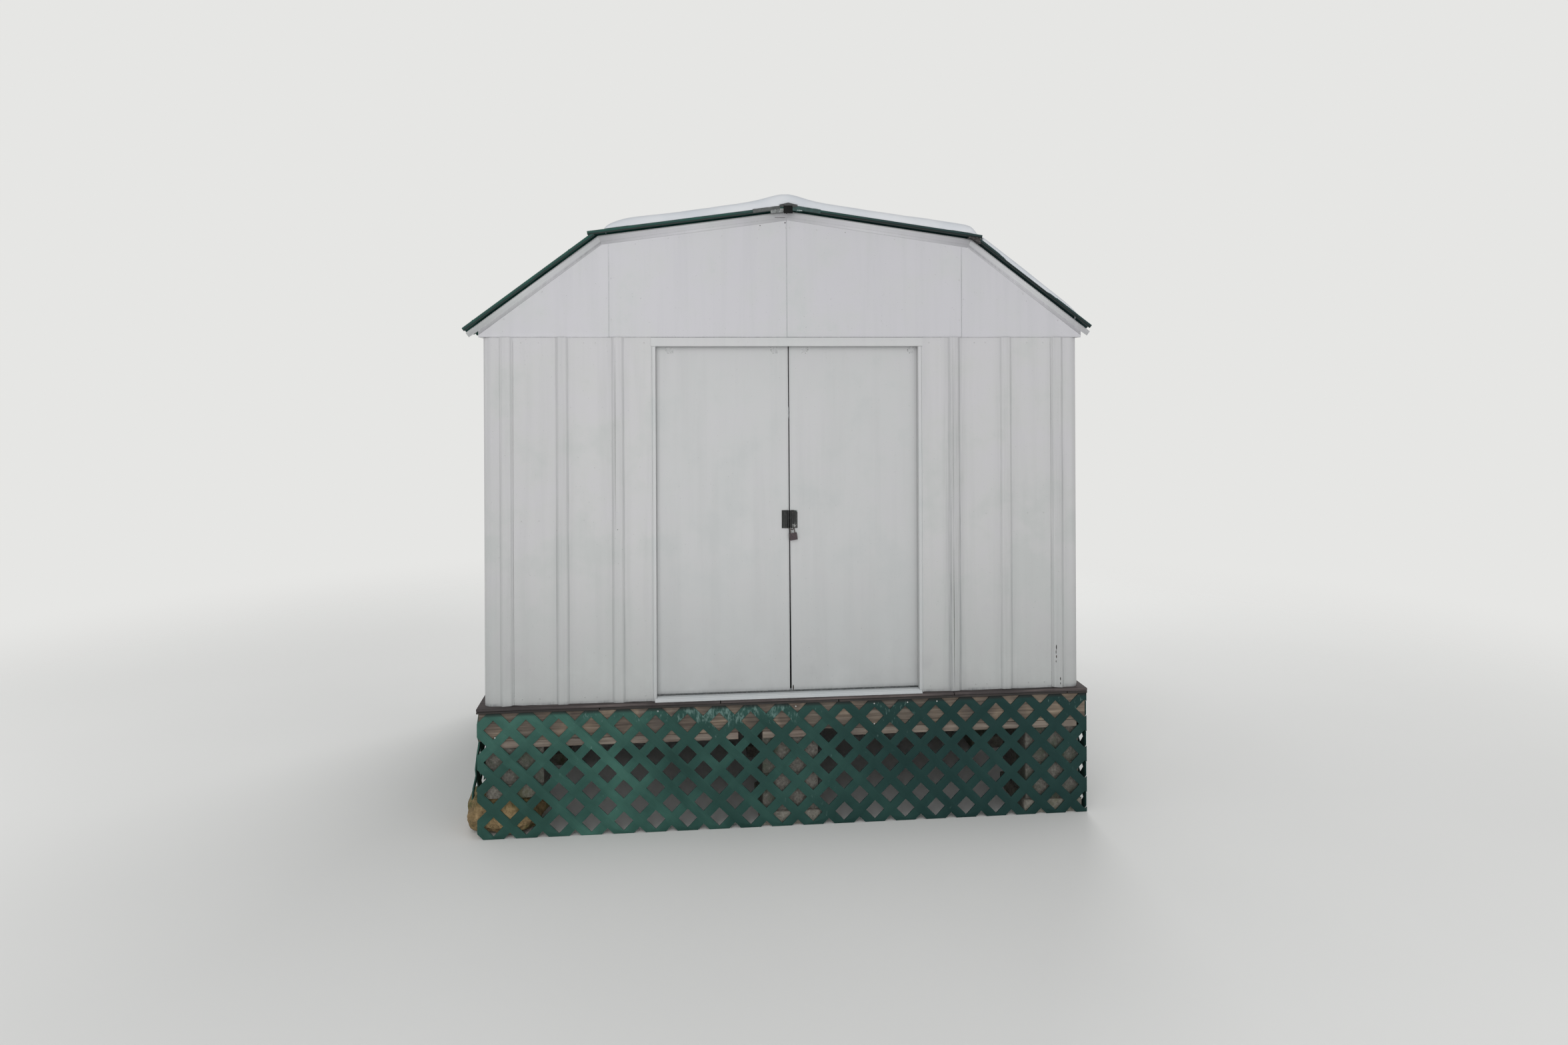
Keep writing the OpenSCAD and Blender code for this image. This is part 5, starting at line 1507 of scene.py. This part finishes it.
def timbers():
    for node, material, slot, warp, bevel in (
            ("long_rims", RIM_X, "rim_timber", 0.0015, 0.004),
            ("side_rims", RIM_Y, "rim_timber", 0.0015, 0.004),
            ("floor_joists", RIM_Y, "rim_timber", 0.0015, 0.004),
            ("sill_boards", SILL, "sill_timber", 0.0025, 0.004),
            ("deck_sheets", PLY, "deck_board", 0.0025, 0.0022),
            ("subfloor_boards", DARK_BOARD, "dark_board", 0.0025, 0.0025)):
        pieces = [board(f"{node}_{i}", low, high, warp, bevel)
                  for i, (low, high) in enumerate(solids_of(node))]
        fitted(joined(f"{node}_sawn", pieces), material, slot, node)


def masonry():
    for node in ("lower_blocks", "upper_blocks"):
        piece = eased(from_node(node + "_pressed", node), 0.005, 2)
        fitted(shaded(piece), BLOCK, "concrete_block", node)
    slabs = []
    for i, (low, high) in enumerate(solids_of("footing_slabs")):
        slab = eased(gridded(block(f"slab_{i}", low, high), 7), 0.008, 2, 60)
        for vert in slab.data.vertices:
            rough = noise.noise(vert.co * 16) * 0.003 + noise.noise(vert.co * 45) * 0.0012
            side = Vector((vert.co.x - (low.x + high.x) / 2, vert.co.y - (low.y + high.y) / 2, 0))
            if low.z + 0.006 < vert.co.z < high.z - 0.006:
                vert.co -= side.normalized() * (0.002 + rough)
        slabs.append(shaded(slab, 50))
    fitted(joined("cast_slabs", slabs), SLAB, "concrete", "footing_slabs")


def boulder():
    """Fieldstone: a cube rounded towards a ball, lumped and chipped by noise, flat at its top and foot."""
    low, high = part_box("corner_stone")
    stone = gridded(block("corner_boulder", low, high), 40)
    middle, size = (low + high) / 2, (high - low) / 2
    for vert in stone.data.vertices:
        unit = Vector([(vert.co[k] - middle[k]) / size[k] for k in range(3)])
        ball = unit.normalized() * 1.12
        form = unit.lerp(ball, 0.72)
        lump = 1 + 0.13 * noise.noise(unit * 1.3 + Vector((4, 1, 7))) + 0.05 * noise.noise(unit * 3.6)
        ridge = 0.035 * (1 - abs(noise.noise(unit * 5.5 + Vector((2, 8, 3)))))
        ridge += 0.012 * noise.noise(unit * 17)
        form *= lump + ridge - 0.03
        spot = Vector([middle[k] + form[k] * size[k] for k in range(3)])
        spot.x = max(spot.x, low.x - 0.012)
        spot.y = max(spot.y, low.y + 0.001)
        spot.z = min(max(spot.z, 0.0), high.z)
        vert.co = spot
    fitted(shaded(stone, 60), FIELDSTONE, "fieldstone", "corner_stone")


# Snow

def roof_lift(y):
    """Height of the roof sheet above its slope at y, over crests and troughs."""
    c = (abs(y) - ROOF_HALF + ROOF_CREST / 2) / ROOF_PITCH
    if abs(y) > ROOF_HALF - ROOF_CREST / 2:
        return ROOF_RIB
    off = abs(c - round(c)) * ROOF_PITCH
    fall = (off - ROOF_CREST / 2) / ROOF_FLANK
    return ROOF_RIB * (1 - max(0.0, min(1.0, fall))) + 0.0015 * max(0.0, min(1.0, fall))


def snow_sheet(name, node, start, end, count, height, ends, over):
    """Snow on the roof between two places across it: a grid laid on the ribs, rounded down at its edges."""
    clear_hands()
    bpy.ops.mesh.primitive_grid_add(x_subdivisions=count, y_subdivisions=230, size=2)
    snow = bpy.context.object
    snow.name = name
    half = ROOF_HALF + 0.0005 + over
    for vert in snow.data.vertices:
        tx, ty = vert.co.x, vert.co.y
        # Rows stand closer together near the edges.
        tx = math.copysign(1 - (1 - abs(tx)) ** 1.7, tx)
        ty = math.copysign(1 - (1 - abs(ty)) ** 1.35, ty)
        x, y = (start + end) / 2 + tx * (end - start) / 2, ty * half
        wander = (0.010 * noise.noise(Vector((y * 5.0, start * 3, 1)))
                  + 0.004 * noise.noise(Vector((y * 19, start, 2))))
        from_start, from_end, from_side = x - start, end - x, half - abs(y)
        x += wander * (1 - min(1.0, from_start / 0.15)) - wander * (1 - min(1.0, from_end / 0.15))
        side_wander = 0.003 + 0.003 * noise.noise(Vector((x * 7, math.copysign(1, y), 5)))
        # Towards its thin ends the edge draws back behind the lip.
        thin = max(0.0, 1 - from_end / 0.16, 1 - from_start / 0.12)
        tuck = (over + 0.003) * thin
        y -= math.copysign((side_wander + tuck) * (1 - min(1.0, from_side / 0.1)), y)
        rounding = 1.0
        for gap, radius in ((from_start, ends[0]), (from_end, ends[1]), (from_side, 0.030)):
            if radius and gap < radius:
                rounding *= math.sqrt(max(0.0, 1 - (1 - gap / radius) ** 2))
        deep, lift = height(x, y), roof_lift(y)
        # Where it hangs over the front lip its edge sags below the top of the lip.
        sag = over * 1.5 * max(0.0, 1 - from_side / (over + 0.001)) if y < 0 and not thin else 0.0
        vert.co = Vector((x, y, roof_at(x) + lift + (ROOF_RIB - lift + deep) * rounding + 0.0022 - sag))
    worked(snow, "SOLIDIFY", thickness=0.006, offset=-1)
    return fitted(shaded(snow, 70), SNOW, "snow", node)


def snow_cover():
    def upper(x, y):
        drift = noise.noise(Vector((x * 2.2, y * 2.2, 0))) * 0.006
        drift += noise.noise(Vector((x * 9, y * 9, 3))) * 0.0022
        peak = (RIDGE - KNEE.y) / KNEE.x * (math.hypot(x, 0.07) - abs(x))
        ridge = 0.026 * math.exp(-((x + 0.02) / 0.115) ** 2) - peak
        sag = 0.004 * (1 - roof_lift(y) / ROOF_RIB)
        return 0.043 + ridge + drift - sag

    def lower(x, y):
        drift = noise.noise(Vector((x * 3.1, y * 2.0, 8))) * 0.005
        drift += noise.noise(Vector((x * 9, y * 9, 4))) * 0.002
        return 0.026 + 0.006 * (1.5 - x) / 0.5 + drift - 0.004 * (1 - roof_lift(y) / ROOF_RIB)
    snow_sheet("settled_snow_upper", "upper_snow", 0.034 - KNEE.x, KNEE.x + 0.044, 90, upper, (0.170, 0.085),
               0.001)
    snow_sheet("settled_snow_lower", "lower_snow", KNEE.x + 0.055, EAVE.x - 0.070, 46, lower, (0.014, 0.080),
               0.003)


# Fasteners

SCREW_EDGE = 0.188


def bay_middles(half, bays, numbers):
    """Middles of some bays between a wall's ribs, and its outermost screws, on both sides of its middle."""
    pitch = 2 * (half - CORNER_RIB) / bays
    places = [pitch * (n + 0.5) for n in numbers] + [half - SCREW_EDGE]
    return [side * place for side in (-1, 1) for place in places]


def mirrored_screws(right, name, material, slot):
    """The same screws on the left-hand side."""
    left = placed(right, name, FLIP_X)
    left.parent = None
    fitted(left, material, slot)


def wall_screws():
    """White screws along the foot, the middle and the top of the walls, and around the gable."""
    foot, mid, head = FLOOR + 0.030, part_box("wall_channels")[0].z + 0.030, WALL_TOP - 0.028
    spots = [(x, z) for x in (0.741, 0.985, 1.045, 1.27, 1.357)
             for z in (foot, head) + ((mid,) if x > 1 else ())]
    spots += [(0.010, RIDGE - 0.085), (0.150, RIDGE - 0.095), (0.560, RIDGE - 0.140),
              (0.905, WALL_TOP + 0.30), (0.905, WALL_TOP + 0.09), (0.929, WALL_TOP + 0.20),
              (1.25, WALL_TOP + 0.23), (1.44, WALL_TOP + 0.09)]
    front = [(side * x, FRONT - 0.0001, z) for x, z in spots for side in (1, -1)]
    screws("front_screws", front, TOWARDS_FRONT, WALL, "white_steel", 0.0026, 0.0)
    rear = [(x, -FRONT + 0.0001, z) for x in bay_middles(HALF_W, 10, (0, 2, 3, 4)) for z in (foot, mid, head)]
    screws("rear_screws", rear, (0, 1, 0), TRIM, "white_steel")
    side = [(HALF_W + 0.0001, y, z) for y in bay_middles(HALF_D, 8, (0, 2, 3)) for z in (foot, mid, head)]
    right = screws("right_screws", side, (1, 0, 0), TRIM, "white_steel")
    mirrored_screws(right, "left_screws", TRIM, "white_steel")


def roof_screws():
    """Green screws on the crests of the lower roof sheets, near the knee and near the eave."""
    normal, slope = slope_normals()[1], slope_ways()[1]
    places = []
    for i in range(10):
        crest = Vector((KNEE.x, -ROOF_HALF + ROOF_CREST / 2 + i * ROOF_PITCH, KNEE.y))
        for down in (0.16, (EAVE - KNEE).length - 0.05):
            places.append(crest + slope * down + normal * (ROOF_RIB + 0.0002))
    right = screws("roof_screws_right", places, normal, GREEN, "green_steel", 0.0045, 0.0085)
    mirrored_screws(right, "roof_screws_left", GREEN, "green_steel")


# Stage

def pale_floor():
    """Plain pale studio floor that keeps the shed's shadow and fades into the backdrop."""
    clear_hands()
    bpy.ops.mesh.primitive_circle_add(vertices=96, radius=16, location=(0, 0, -0.001), fill_type="NGON")
    floor = bpy.context.object
    floor.name = "studio_floor"
    f = Finish("plain pale studio floor", 0.9, Specular_IOR_Level=0.1)
    tone = f.ramp(f.noise(0.4, 2.0), (0.3, "#e6e6e4"), (0.7, "#eaeae8"))
    away = add(f.tree, "VectorMath", {0: f.place}, operation="LENGTH").outputs["Value"]
    fade = add(f.tree, "MapRange", {0: away, 1: 2.4, 2: 8.5, 3: 1.0, 4: 0.0}, interpolation_type="SMOOTHSTEP")
    floor.data.materials.append(f.done(Base_Color=tone, Alpha=fade.outputs[0]))


def studio_light():
    """Soft even light: a pale dome and large soft lamps, one of them low like light off pale ground."""
    world = bpy.data.worlds.new("studio")
    bpy.context.scene.world = world
    world.use_nodes = True
    tree = world.node_tree
    tree.nodes.clear()
    dome = add(tree, "Background", {0: "#f2f3f4", 1: 0.55})
    seen = add(tree, "Background", {0: "#f1f1ef", 1: 0.90})
    path = add(tree, "LightPath")
    mirror = add(tree, "Math", {0: path.outputs["Is Camera Ray"], 1: path.outputs["Is Glossy Ray"]},
                 operation="MAXIMUM")
    through = add(tree, "Math", {0: mirror.outputs[0], 1: path.outputs["Is Transmission Ray"]},
                  operation="MAXIMUM")
    mixed = add(tree, "MixShader", {0: through.outputs[0], 1: dome.outputs[0], 2: seen.outputs[0]})
    add(tree, "OutputWorld", {0: mixed.outputs[0]})
    for name, place, aim, size, power in (
        ("key_lamp", (-2.6, -8.8, 5.4), (0, 0, 1.6), 5.0, 175),
        ("fill_lamp", (4.5, -7.8, 3.5), (0, 0, 1.4), 5.0, 72),
        ("low_lamp", (-0.5, -8.0, 0.9), (0, 0, 2.2), 4.0, 84),
        ("back_lamp", (2.5, 7.0, 6.0), (0, 0, 1.6), 5.0, 335),
        ("edge_lamp", (-6.5, -1.0, 2.6), (-1.5, -1.2, 1.6), 1.6, 30),
    ):
        lamp = bpy.data.lights.new(name, "AREA")
        lamp.size = size
        lamp.energy = power
        ob = bpy.data.objects.new(name, lamp)
        ob.location = place
        ob.rotation_euler = (Vector(aim) - Vector(place)).to_track_quat("-Z", "Y").to_euler()
        bpy.context.scene.collection.objects.link(ob)


def photo_camera():
    """The level camera of the photograph, turned 5.8 degrees to the right, with its view shifted down."""
    lens = bpy.data.cameras.new("photo_camera")
    lens.sensor_width = 36
    lens.lens = 24
    lens.shift_y = -0.0881
    lens.clip_end = 200
    cam = bpy.data.objects.new("photo_camera", lens)
    cam.location = (-0.570, FRONT - 5.3757, FLOOR + 1.6143)
    cam.rotation_euler = (math.pi / 2, 0.0046, -0.1013)
    bpy.context.scene.collection.objects.link(cam)
    bpy.context.scene.camera = cam


walls()
gables()
trims()
roof()
ridge_strip()
packed_dirt()
doors()
opening_trims()
threshold_plate()
handles()
padlock_case()
padlock_shackle()
lattices()
timbers()
masonry()
boulder()
snow_cover()
wall_screws()
roof_screws()

pale_floor()
studio_light()
photo_camera()
bpy.context.scene.view_settings.view_transform = "Standard"
